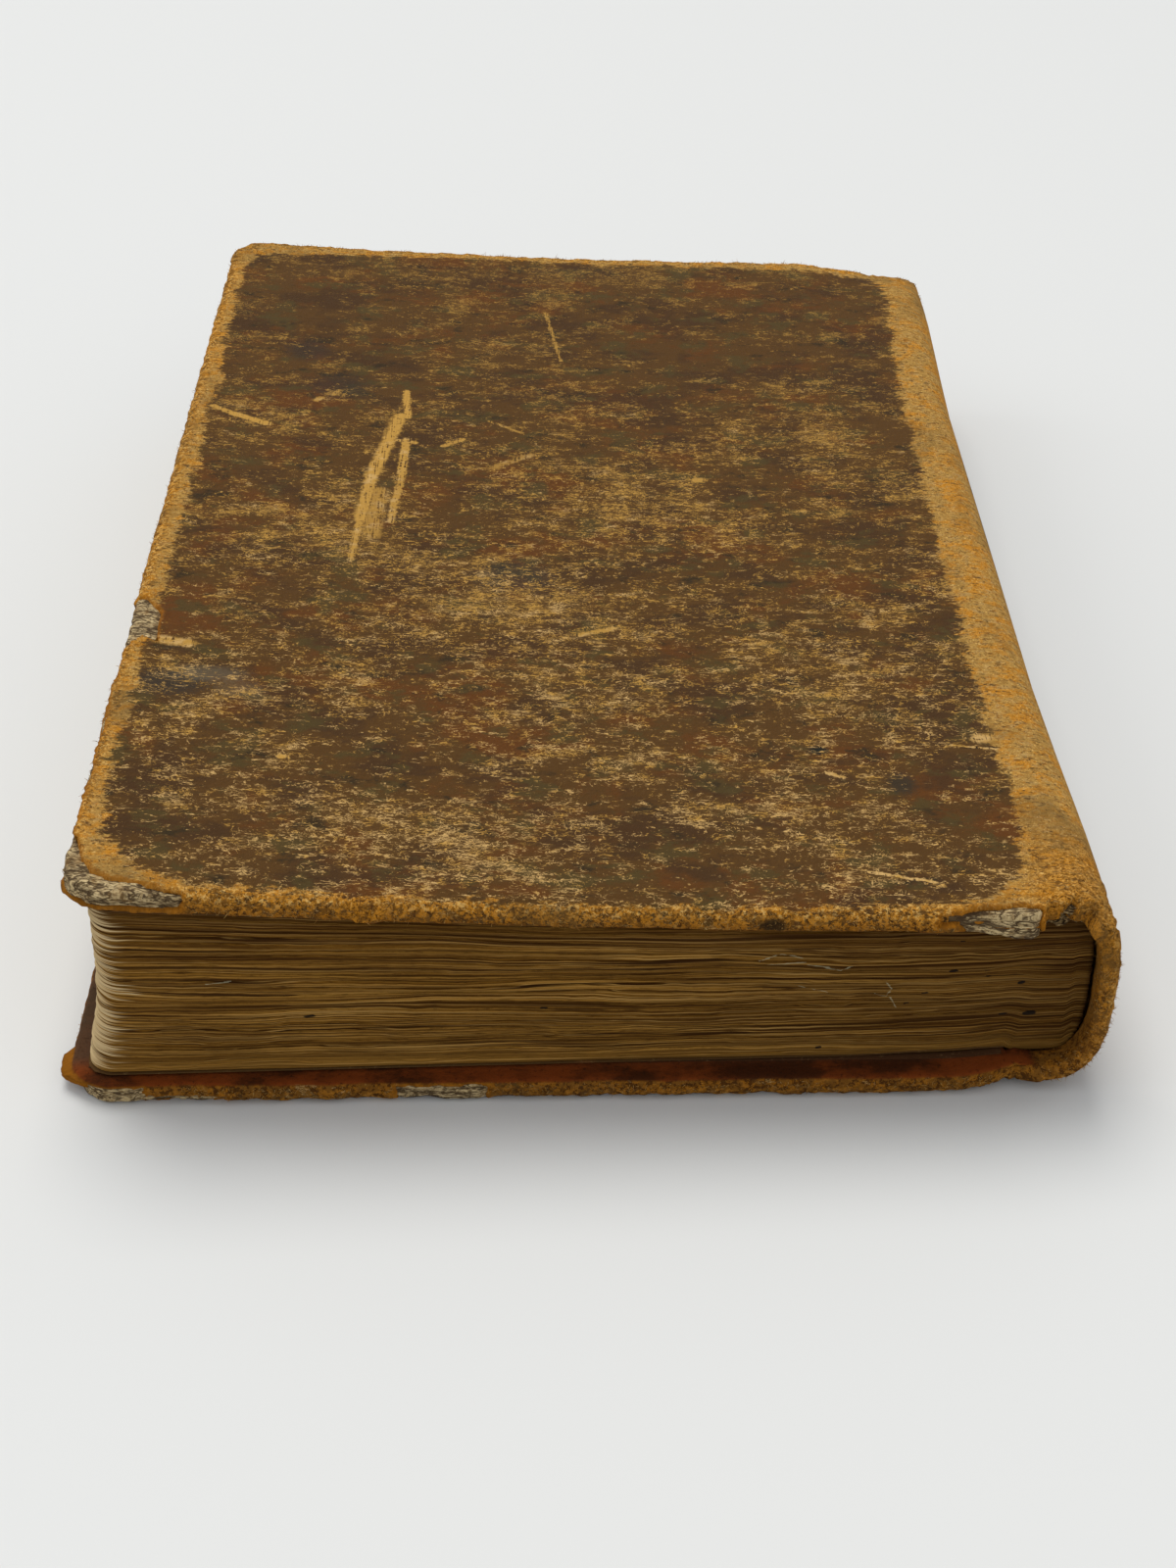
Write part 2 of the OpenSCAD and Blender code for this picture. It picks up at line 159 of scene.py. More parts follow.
@dataclass(frozen=True)
class BookSizes:
    """The part's own sizes in millimetres, and the curves that its source draws with them."""

    board_w: float = 134.0
    board_h: float = 220.0
    board_t: float = 2.4
    corner_r: float = 5.0
    board_rise: float = 6.2
    board_sag: float = 1.2
    lean: float = 2.9
    hide_t: float = 0.9
    turn_t: float = 0.4
    turn_w: float = 15.0
    joint_w: float = 2.0
    spine_depth: float = 12.9
    spine_lift: float = 1.2
    cap_flare: float = 1.7
    cap_turn: float = 16.0
    flare_l: float = 60.0
    lining_t: float = 0.5
    block_t: float = 23.8
    gatherings: int = 26
    fore_square: float = 2.9
    tail_square: float = 4.0
    leaf_drop: float = 3.2
    fore_hollow: float = 1.3
    leaf_corner: float = 4.2
    paper_t: float = 0.2
    rest_gap: float = 0.3
    fit_play: float = 0.02
    joint_play: float = 0.3
    board_play: float = 0.4
    back_bend_w: float = 13.0
    front_power: float = 3.9
    back_power: float = 3.0
    shoulder_w: float = 0.7
    shoulder_fan: float = 3.0
    fan_up: float = 0.5

    @property
    def core_d(self) -> float:
        """Depth of a board's inner face below the cover's outer face."""
        return self.hide_t + self.board_t

    @property
    def turned_d(self) -> float:
        """Depth of the turn-ins' face."""
        return self.core_d + self.turn_t

    @property
    def cover_t(self) -> float:
        """Depth of the pastedown's face over the turn-ins."""
        return self.turned_d + self.paper_t

    @property
    def under_d(self) -> float:
        """Depth of the leaves under the flyleaf."""
        return self.cover_t + self.rest_gap + self.paper_t

    @property
    def joint_z(self) -> float:
        """Height of the front joint."""
        return 2 * self.under_d + self.block_t

    @property
    def half_h(self) -> float:
        """Half of the cover's height."""
        return self.board_h / 2 + self.hide_t

    @property
    def leaf_half(self) -> float:
        """Half of the leaves' height."""
        return self.half_h - self.tail_square

    @property
    def back_edge_x(self) -> float:
        """Where the back board's joint edge lies."""
        return (self.board_w + self.hide_t - self.spine_depth - self.cap_flare) / 2

    def edge_x(self, side: Side) -> float:
        """Where a board's joint edge lies."""
        return self.back_edge_x + (self.lean if side is Side.FRONT else 0.0)

    def joint_x(self, side: Side) -> float:
        """Where a cover swings."""
        return self.edge_x(side) + self.joint_w

    def fore_x(self, side: Side) -> float:
        """Where a cover's fore-edge lies."""
        return self.edge_x(side) - self.board_w - self.hide_t

    @property
    def spine_cx(self) -> float:
        """Middle of the spine's outline in X."""
        return self.joint_x(Side.BACK) + self.joint_play / 2

    @property
    def spine_cz(self) -> float:
        """Middle of the spine's outline in Z."""
        return (self.spine_lift + self.joint_z) / 2

    @property
    def spine_a(self) -> float:
        """Reach of the spine's outline in X."""
        return self.back_edge_x + self.spine_depth - self.spine_cx

    @property
    def spine_b(self) -> float:
        """Half of the spine's height."""
        return (self.joint_z - self.spine_lift) / 2

    @property
    def block_a(self) -> float:
        """Reach of the leaves' back in X."""
        return self.spine_a - self.hide_t - self.lining_t - self.fit_play

    @property
    def block_b(self) -> float:
        """Half of the height of the leaves' back."""
        return self.spine_b - self.hide_t - self.lining_t - self.fit_play

    @property
    def knee_x(self) -> float:
        """Where the fan of the leaves ends at the spine."""
        return self.spine_cx + 0.8 * self.block_a

    def face_z(self, side: Side, x: Array) -> Array:
        """Height of a cover's outer face: the front one is curled, the back one bends up at its joint."""
        if side is Side.BACK:
            start = self.joint_x(side) - self.back_bend_w
            return self.spine_lift * np.square(np.maximum(0.0, (x - start) / self.back_bend_w))
        u = (self.joint_x(side) - x) / (self.joint_x(side) - self.fore_x(side))
        return self.joint_z + self.board_rise * u - 4 * self.board_sag * u * (1 - u)

    def flare(self, y: Array) -> Array:
        """How far the spine stands out towards its head and its tail."""
        start = self.half_h - self.flare_l - self.cap_turn / 2
        return self.cap_flare * ease((np.abs(y) - start) / self.flare_l)

    def spine_rise(self, x: Array, power: float) -> Array:
        """Half height of the leaves' rounded back at a place in X."""
        u = np.clip((x - self.spine_cx) / self.block_a, 0, 1)
        return self.block_b * (1 - u**power) ** (1 / power)

    def level_z(self, x: Array, w: Array) -> Array:
        """Height of the leaves' level w, even between the boards and fanned out past their shoulders."""
        foot = self.back_edge_x + self.board_play + self.lean * w - 2 * self.shoulder_fan * w * (1 - w)
        width = self.shoulder_w + 4 * self.shoulder_fan * w * (1 - w)
        k = ease((x - foot) / width)
        xk = np.minimum(x, self.knee_x)
        low = self.face_z(Side.BACK, x) + self.under_d
        high = self.face_z(Side.FRONT, x) - self.under_d
        fan_low = np.maximum(self.spine_cz - self.spine_rise(xk, self.back_power), self.under_d)
        fan_high = np.minimum(self.spine_cz + self.spine_rise(xk, self.front_power),
                              self.joint_z - self.under_d + self.fan_up)
        return (1 - w) * (low + k * (fan_low - low)) + w * (high + k * (fan_high - high))

    def leaf_fore_x(self, w: Array) -> Array:
        """Fore-edge of the leaves at level w, which is hollowed in its middle."""
        return self.fore_square + self.fore_x(Side.BACK) + self.lean * w + 4 * self.fore_hollow * w * (1 - w)

    def leaf_back_x(self, w: Array) -> Array:
        """Back of the leaves at level w, on the rounded outline."""
        z = self.level_z(np.full_like(w, self.knee_x), w)
        power = np.where(z > self.spine_cz, self.front_power, self.back_power)
        u = np.clip(np.abs(z - self.spine_cz) / self.block_b, 0, 1)
        return self.spine_cx + self.block_a * (1 - u**power) ** (1 / power)

    def leaf_shift(self, x: Array) -> Array:
        """How far the leaves have dropped towards the tail at a place in X."""
        fall = (self.knee_x - x) / (self.knee_x - self.fore_x(Side.BACK))
        return -self.leaf_drop * np.clip(fall, 0, 1)


# Meshes


def new_piece(name: str, verts: Array, faces: list, fields: dict[str, Array], weld: float = 0.0,
              sharp: set[int] | None = None) -> bpy.types.Object:
    """Puts points and faces into a mesh object at the origin, shades it smooth and stores its fields.

    Args:
        name: The piece's name.
        verts: Points in millimetres, one row each.
        faces: Lists of vertex numbers that turn anticlockwise, seen from outside.
        fields: Numbers or vectors for each vertex, by attribute name.
        weld: Distance in millimetres under which vertices are merged.
        sharp: Numbers of the faces whose outlines stay sharp.

    Returns:
        The object, linked to the scene.
    """
    mesh = bpy.data.meshes.new(name)
    mesh.from_pydata((verts * MM).tolist(), [], faces)
    for key, values in fields.items():
        kind, slot = ("FLOAT_VECTOR", "vector") if values.ndim == 2 else ("FLOAT", "value")
        mesh.attributes.new(key, kind, "POINT").data.foreach_set(slot, values.astype(np.float32).ravel())
    form = bmesh.new()
    form.from_mesh(mesh)
    form.faces.ensure_lookup_table()
    for face in form.faces:
        face.smooth = True
    for i in sharp or ():
        form.faces[i].smooth = False
        for edge in form.faces[i].edges:
            edge.smooth = False
    if weld:
        bmesh.ops.remove_doubles(form, verts=form.verts, dist=weld * MM)
    form.to_mesh(mesh)
    form.free()
    mesh.validate()
    piece = bpy.data.objects.new(name, mesh)
    bpy.context.scene.collection.objects.link(piece)
    return piece


def grid_faces(rows: int, cols: int, wrap_cols: bool = False, flip: bool = False, start: int = 0) -> Array:
    """Numbers the corners of the quads of a grid of vertices.

    Args:
        rows: Number of rows of vertices.
        cols: Number of vertices in a row.
        wrap_cols: Whether each row closes on itself.
        flip: Whether the faces turn the other way.
        start: Number of the first vertex.

    Returns:
        Four vertex numbers for each quad.
    """
    i, j = np.meshgrid(np.arange(rows - 1), np.arange(cols if wrap_cols else cols - 1), indexing="ij")
    k = (j + 1) % cols
    quads = np.stack([i * cols + j, (i + 1) * cols + j, (i + 1) * cols + k, i * cols + k], -1).reshape(-1, 4)
    return (quads[:, ::-1] if flip else quads) + start


def shell(name: str, points: Array, fields: dict[str, Array], flip: bool,
          wrap: bool = False) -> bpy.types.Object:
    """Makes a piece from columns of points, closed by a flat face at the first and the last of them.

    Args:
        name: The piece's name.
        points: Points in millimetres, by column and row.
        fields: Numbers or vectors for each point, by attribute name.
        flip: Whether the faces turn the other way.
        wrap: Whether each column closes on itself.

    Returns:
        The piece.
    """
    count, rows = points.shape[:2]
    first, last = list(range(rows)), list(range((count - 1) * rows, count * rows))
    faces = grid_faces(count, rows, wrap, flip).tolist()
    faces += [first, last[::-1]] if flip else [first[::-1], last]
    return new_piece(name, points.reshape(-1, 3), faces, fields, WELD, {len(faces) - 2, len(faces) - 1})


# Shaders


class Val:
    """A socket's value in a shader, which adds Math nodes when Python adds, multiplies or compares it."""

    def __init__(self, paint: "Paint", socket: bpy.types.NodeSocket) -> None:
        """Wraps a socket of a paint's node tree."""
        self.paint = paint
        self.socket = socket

    def _math(self, operation: str, *values: "Val | float") -> "Val":
        """Adds a Math node on values."""
        return self.paint.node("ShaderNodeMath", {"operation": operation}, dict(enumerate(values)))

    def __add__(self, other: "Val | float") -> "Val":
        """Adds."""
        return self._math("ADD", self, other)

    __radd__ = __add__

    def __sub__(self, other: "Val | float") -> "Val":
        """Subtracts."""
        return self._math("SUBTRACT", self, other)

    def __rsub__(self, other: float) -> "Val":
        """Subtracts from a number."""
        return self._math("SUBTRACT", other, self)

    def __mul__(self, other: "Val | float") -> "Val":
        """Multiplies."""
        return self._math("MULTIPLY", self, other)

    __rmul__ = __mul__

    def __truediv__(self, other: "Val | float") -> "Val":
        """Divides."""
        return self._math("DIVIDE", self, other)

    def smaller(self, other: "Val | float") -> "Val":
        """The smaller of two values."""
        return self._math("MINIMUM", self, other)

    def larger(self, other: "Val | float") -> "Val":
        """The larger of two values."""
        return self._math("MAXIMUM", self, other)

    def away(self) -> "Val":
        """The value without its sign."""
        return self._math("ABSOLUTE", self)

    def ridge(self, wide: float, narrow: float) -> "Val":
        """A line where the value passes one half, which fades out between two distances from it."""
        return (self - 0.5).away().step(wide, narrow)

    def step(self, low: float, high: float) -> "Val":
        """Rises smoothly from 0 at low to 1 at high, or falls where low is the larger."""
        if low > high:
            return 1 - self.step(high, low)
        span = {"From Min": low, "From Max": high, "To Min": 0.0, "To Max": 1.0}
        return self.paint.node("ShaderNodeMapRange", {"interpolation_type": "SMOOTHSTEP", "clamp": True},
                               {"Value": self, **span})


Triple = tuple[float, float, float]
Colour = Triple
NO_SHIFT = (0.0, 0.0, 0.0)


class Paint:
    """A material that is built node by node."""

    def __init__(self, name: str) -> None:
        """Makes a material with only its surface and output nodes.

        Args:
            name: The material's name.
        """
        self.material = bpy.data.materials.new(name)
        self.material.use_nodes = True
        self.tree = self.material.node_tree
        self.surface = next(n for n in self.tree.nodes if n.type == "BSDF_PRINCIPLED")

    def node(self, kind: str, settings: dict | None = None, inputs: dict | None = None,
             out: int | str = 0) -> Val:
        """Adds a node.

        Args:
            kind: The node's type.
            settings: Its own settings, and under "stops" a ramp's stops.
            inputs: Values or links for its sockets, by name or number.
            out: Name or number of the output that is returned.

        Returns:
            The chosen output.
        """
        made = self.tree.nodes.new(kind)
        for key, value in (settings or {}).items():
            if key == "stops":
                self._set_stops(made.color_ramp, value)
            else:
                setattr(made, key, value)
        for key, value in (inputs or {}).items():
            if isinstance(value, Val):
                self.tree.links.new(value.socket, made.inputs[key])
            elif value is not None:
                made.inputs[key].default_value = value
        return Val(self, made.outputs[out])

    @staticmethod
    def _set_stops(ramp: bpy.types.ColorRamp, stops: list[tuple[float, Colour]]) -> None:
        """Gives a ramp its stops."""
        while len(ramp.elements) < len(stops):
            ramp.elements.new(0.5)
        for element, (place, colour) in zip(ramp.elements, stops):
            element.position = place
            element.color = (*colour, 1.0)

    def field(self, name: str, out: str = "Fac") -> Val:
        """Reads one of the mesh's stored fields."""
        return self.node("ShaderNodeAttribute", {"attribute_name": name}, out=out)

    def stretch(self, vector: Val, by: Triple, shift: Val | Triple = NO_SHIFT) -> Val:
        """Multiplies a vector's three numbers and shifts them by another vector."""
        return self.node("ShaderNodeVectorMath", {"operation": "MULTIPLY_ADD"}, {0: vector, 1: by, 2: shift})

    def part(self, vector: Val, axis: str) -> Val:
        """One number of a vector."""
        return self.node("ShaderNodeSeparateXYZ", None, {0: vector}, axis)

    def noise(self, place: Val, size: Triple, detail: float = 3.0, rough: float = 0.55,
              shift: Triple = NO_SHIFT, warp: float = 0.0) -> Val:
        """Noise from about 0 to 1 at a place that is multiplied by a size and shifted."""
        return self.node("ShaderNodeTexNoise", None,
                         {"Vector": self.stretch(place, size, shift), "Scale": 1.0, "Detail": detail,
                          "Roughness": rough, "Distortion": warp}, "Fac")

    def cells(self, place: Val) -> Val:
        """Distance to the nearest middle in a pattern of cells."""
        return self.node("ShaderNodeTexVoronoi", {"feature": "F1"},
                         {"Vector": place, "Scale": 1.0, "Randomness": 1.0}, "Distance")

    def spot(self, place: Val, middle: Triple, scale: Triple) -> Val:
        """Distance from the middle of a spot, with each axis multiplied by its own scale."""
        shift = tuple(-m * s for m, s in zip(middle, scale))
        return self.node("ShaderNodeVectorMath", {"operation": "LENGTH"},
                         {0: self.stretch(place, scale, shift)}, "Value")

    def in_mm(self) -> Val:
        """The object's own coordinates in millimetres."""
        place = self.node("ShaderNodeTexCoord", None, None, "Object")
        return self.stretch(place, (1 / MM, 1 / MM, 1 / MM))

    def mix(self, share: Val | float, first: Val | Colour, second: Val | Colour, way: str = "MIX") -> Val:
        """Mixes two colours."""
        made = self.tree.nodes.new("ShaderNodeMix")
        made.data_type = "RGBA"
        made.blend_type = way
        for key, value in ((0, share), (6, first), (7, second)):
            if isinstance(value, Val):
                self.tree.links.new(value.socket, made.inputs[key])
            else:
                made.inputs[key].default_value = (*value, 1.0) if key else value
        return Val(self, made.outputs[2])

    def near_line(self, place: Val, start: tuple[float, float], end: tuple[float, float]) -> Val:
        """Distance from a place to a straight line between two points, both in X and Y."""
        a = np.array([*start, 0.0])
        along = np.array([*end, 0.0]) - a
        length = float(along @ along)
        from_a = self.stretch(place, (1.0, 1.0, 0.0), tuple(-a))
        share = self.node("ShaderNodeVectorMath", {"operation": "DOT_PRODUCT"}, {0: from_a, 1: tuple(along)},
                          "Value") / max(length, 1e-9)
        held = share.larger(0.0).smaller(1.0)
        foot = self.node("ShaderNodeVectorMath", {"operation": "SCALE"}, {0: tuple(along), "Scale": held})
        return self.node("ShaderNodeVectorMath", {"operation": "DISTANCE"}, {0: from_a, 1: foot}, "Value")

    def finish(self, colour: Val | Colour, rough: Val | float, bumps: list[tuple[Val, float, float]],
               fixed: dict[str, float] | None = None) -> bpy.types.Material:
        """Joins the surface's sockets.

        Args:
            colour: The base colour.
            rough: The roughness.
            bumps: Heights from 0 to 1, each with its strength and its depth in millimetres.
            fixed: Numbers for other sockets of the surface.

        Returns:
            The material.
        """
        for key, value in (("Base Color", colour), ("Roughness", rough)):
            if isinstance(value, Val):
                self.tree.links.new(value.socket, self.surface.inputs[key])
            else:
                self.surface.inputs[key].default_value = (*value, 1.0) if isinstance(value, tuple) else value
        normal = None
        for height, strength, depth in bumps:
            normal = self.node("ShaderNodeBump", None, {"Height": height, "Strength": strength,
                                                        "Distance": depth * MM, "Normal": normal})
        if normal is not None:
            self.tree.links.new(normal.socket, self.surface.inputs["Normal"])
        for key, value in (fixed or {}).items():
            self.surface.inputs[key].default_value = value
        return self.material


# Worn places


@dataclass(frozen=True)
class WornPlace:
    """A place where the hide is worn through to the pasteboard, as an outline over the cover in X and Y."""

    outline: tuple[tuple[float, float], ...]
    deepest: float = 9.0
    shallowest: float = -9.0

    def inside(self, x: Array, y: Array, depth: Array) -> Array:
        """Distance in millimetres into the place, below zero outside it.

        For each side of the outline the distance to the line between its ends is taken, and the sign comes
        from counting the sides that a ray crosses. The depths limit it below and above.

        Args:
            x: Places in X.
            y: Places in Y.
            depth: Depths below the cover's outer face.

        Returns:
            The distance at each place.
        """
        gap = np.full(x.shape, 1e9)
        within = np.zeros(x.shape, bool)
        points = np.array(self.outline)
        for (ax, ay), (bx, by) in zip(points, np.roll(points, -1, axis=0)):
            along = (x - ax) * (bx - ax) + (y - ay) * (by - ay)
            t = np.clip(along / ((bx - ax) ** 2 + (by - ay) ** 2), 0, 1)
            gap = np.minimum(gap, np.hypot(x - ax - t * (bx - ax), y - ay - t * (by - ay)))
            if ay != by:
                crosses = ((ay > y) != (by > y)) & (x < (bx - ax) * (y - ay) / (by - ay) + ax)
                within ^= crosses
        signed = np.where(within, gap, -gap)
        return np.minimum(signed, np.minimum(self.deepest - depth, depth - self.shallowest))


FRONT_WORN = (
    WornPlace(((-71.35, -90.0), (-71.2, -97.0), (-70.6, -99.9), (-69.8, -102.1), (-69.1, -103.9),
               (-68.1, -105.1), (-66.7, -106.8), (-64.8, -107.9), (-62.7, -108.4), (-60.7, -108.9),
               (-57.9, -109.7), (-54.8, -110.4), (-54.6, -114.0), (-76.0, -114.0), (-76.0, -88.0)),
              deepest=2.75),
    WornPlace(((-71.5, -48.0), (-71.25, -56.0), (-71.5, -62.0), (-71.2, -70.0), (-71.45, -79.0),
               (-71.2, -86.0), (-71.35, -91.0), (-74.0, -91.0), (-74.0, -48.0)), deepest=1.9, shallowest=0.1),
    WornPlace(((-70.0, -33.9), (-68.4, -36.2), (-66.9, -38.4), (-67.2, -42.0), (-66.5, -46.8), (-69.0, -45.2),
               (-71.0, -48.6), (-75.0, -49.0), (-75.0, -34.0)), deepest=3.0),
    WornPlace(((51.0, -111.6), (52.5, -110.3), (55.0, -109.7), (58.0, -109.3), (61.9, -109.1), (62.9, -110.0),
               (63.3, -114.0), (51.8, -114.0)), deepest=9.0),
    WornPlace(((46.6, -112.0), (49.0, -110.8), (53.0, -110.4), (54.0, -114.0), (48.0, -114.0)), deepest=2.0,
              shallowest=0.3),
)
BACK_WORN = (
    WornPlace(((-74.0, -102.5), (-72.2, -106.0), (-66.0, -108.6), (-63.6, -109.8), (-63.4, -114.0),
               (-78.0, -114.0), (-78.0, -101.5)), deepest=3.2),
    WornPlace(((-64.0, -110.0), (-58.0, -109.7), (-52.0, -110.2), (-50.6, -114.0), (-64.5, -114.0)),
              deepest=1.5),
    WornPlace(((-27.6, -114.0), (-27.0, -109.4), (-20.0, -109.0), (-14.6, -109.6), (-13.2, -114.0)),
              deepest=3.0),
)


def place_inside(side: Side, x: Array, y: Array, depth: Array) -> Array:
    """Distance into the nearest worn place of a cover, ragged by a few random fields."""
    places = FRONT_WORN if side is Side.FRONT else BACK_WORN
    best = np.full(x.shape, OUTSIDE)
    for place in places:
        best = np.maximum(best, place.inside(x, y, depth))
    at = np.stack([x, y, depth], -1)
    return best + 0.35 * GRAIN.rough(at, 2.2) + 0.25 * GRAIN.rough(at, 0.8, 2)


GRAIN = Grain(41)


# The hide


@dataclass(frozen=True)
class Profile:
    """A closed line round the edge of a sheet, from the middle of its outer face to that of its inner face.

    Attributes:
        inset: Distance in from the sheet's outline.
        share: Share of what is then left of the way to the sheet's middle.
        depth: Depth below the outer face.
    """

    inset: Array
    share: Array
    depth: Array

    def normals(self) -> tuple[Array, Array]:
        """Direction that the line's outer side faces, as its parts along the inset and along the depth."""
        de = np.gradient(self.inset + 90 * self.share)
        dd = np.gradient(self.depth)
        size = np.maximum(np.hypot(de, dd), 1e-9)
        return -dd / size, de / size


def arc(centre: tuple[float, float], radius: float, start: float, end: float,
        count: int) -> list[tuple[float, float, float]]:
    """Points on part of a circle in the plane of inset and depth, between two angles in degrees."""
    turn = np.radians(np.linspace(start, end, count))
    return [(centre[0] + radius * math.cos(a), 0.0, centre[1] + radius * math.sin(a)) for a in turn]


def hide_profile(edge_round: float, inner_round: float, turned: float, turn_w: float, under: float,
                 core: float) -> Profile:
    """The hide's line: flat face, round edge, wall, round inner edge, turn-in, and back beneath them all.

    Args:
        edge_round: Radius of the outer edge.
        inner_round: Radius of the inner edge.
        turned: Depth of the turn-in's face.
        turn_w: Width of the turn-in.
        under: Depth of the underside of the outer face.
        core: Depth of the underside of the turn-in.

    Returns:
        The line.
    """
    middle = [(14.0, q, 0.0) for q in (1.0, 0.75, 0.5, 0.3, 0.18, 0.1, 0.05, 0.02)]
    flat = [(e, 0.0, 0.0) for e in np.concatenate([np.arange(14.0, 6.0, -0.8), np.arange(6.0, 2.05, -0.33)])]
    outer = arc((edge_round, edge_round), edge_round, -90, -180, 10)
    wall_low = turned - inner_round
    wall = [(0.0, 0.0, edge_round + (wall_low - edge_round) * k / 4) for k in (1, 2, 3)]
    inner = arc((inner_round, wall_low), inner_round, 180, 90, 6)
    turn_in = [(e, 0.0, turned) for e in (1.5, 2.4, 3.5, 5.0, 7.0, 9.0, 11.0, 13.0, turn_w - 0.6)]
    close = [(turn_w, 0.0, (turned + core) / 2), (turn_w - 0.4, 0.0, core)]
    beneath = [(e, 0.0, core) for e in (9.0, 4.0, under + 0.05)]
    inside = [(e, 0.0, under) for e in (under + 0.05, 3.0, 8.0, 14.0)]
    far = [(14.0, q, under) for q in (0.05, 0.3, 0.6, 1.0)]
    line = np.array(middle + flat + outer + wall + inner + turn_in + close + beneath + inside + far)
    return Profile(line[:, 0], line[:, 1], line[:, 2])


@dataclass(frozen=True)
class Fuzz:
    """Short curled fibres that stand on the rubbed edges of the hide.

    Attributes:
        thick: Radius at a fibre's root.
        shortest: Length of the shortest fibre.
        longest: Length of the longest fibre.
        rings: Rings of three points along a fibre, before its tip.
    """

    thick: float = 0.055
    shortest: float = 0.35
    longest: float = 1.5
    rings: int = 4

    def build(self, name: str, roots: Array, out: Array, seed: int) -> bpy.types.Object:
        """Builds one mesh of all fibres.

        A fibre starts along a lean between the surface's outward direction and a random one, turns steadily
        about another random direction, and thins evenly to its tip.

        Args:
            name: The piece's name.
            roots: Where the fibres start, one row each.
            out: The surface's outward direction there.
            seed: What the random numbers start from.

        Returns:
            The piece.
        """
        dice = np.random.default_rng(seed)
        n = len(roots)
        lean = out * 0.9 + dice.normal(0, 0.8, (n, 3))
        lean /= np.linalg.norm(lean, axis=1, keepdims=True)
        curl = np.cross(lean, dice.normal(0, 1.0, (n, 3)))
        curl /= np.linalg.norm(curl, axis=1, keepdims=True)
        length = self.shortest + (self.longest - self.shortest) * dice.beta(1.2, 4.0, n)
        bend = dice.uniform(0.4, 2.4, n)
        t = np.linspace(0, 1, self.rings + 1)[None, :, None]
        turn = bend[:, None, None] * t
        size = (length / bend)[:, None, None]
        path = roots[:, None] - 0.1 * out[:, None]
        path = path + size * (np.sin(turn) * lean[:, None] + (1 - np.cos(turn)) * curl[:, None])
        side = np.cross(lean, curl)
        angle = np.radians([0.0, 120.0, 240.0])[None, None, :, None]
        ring = np.cos(angle) * curl[:, None, None] + np.sin(angle) * side[:, None, None]
        radius = (self.thick * dice.uniform(0.6, 1.2, n)[:, None] * (1 - t[..., 0] * 0.75))[:, :, None, None]
        rings = (path[:, :, None] + radius * ring)[:, :-1].reshape(n, -1, 3)
        verts = np.concatenate([rings, path[:, -1:]], axis=1)
        count = verts.shape[1]
        faces = [(2, 1, 0)]
        for k in range(self.rings - 1):
            for j in range(3):
                low, near = 3 * k + j, 3 * k + (j + 1) % 3
                faces += [(low, near, near + 3), (low, near + 3, low + 3)]
        last = 3 * (self.rings - 1)
        faces += [(last + j, last + (j + 1) % 3, count - 1) for j in range(3)]
        every = (np.array(faces)[None] + np.arange(n)[:, None, None] * count).reshape(-1, 3)
        tone = np.repeat(dice.uniform(0, 1, n), count)
        return new_piece(name, verts.reshape(-1, 3), every.tolist(), {"tone": tone})


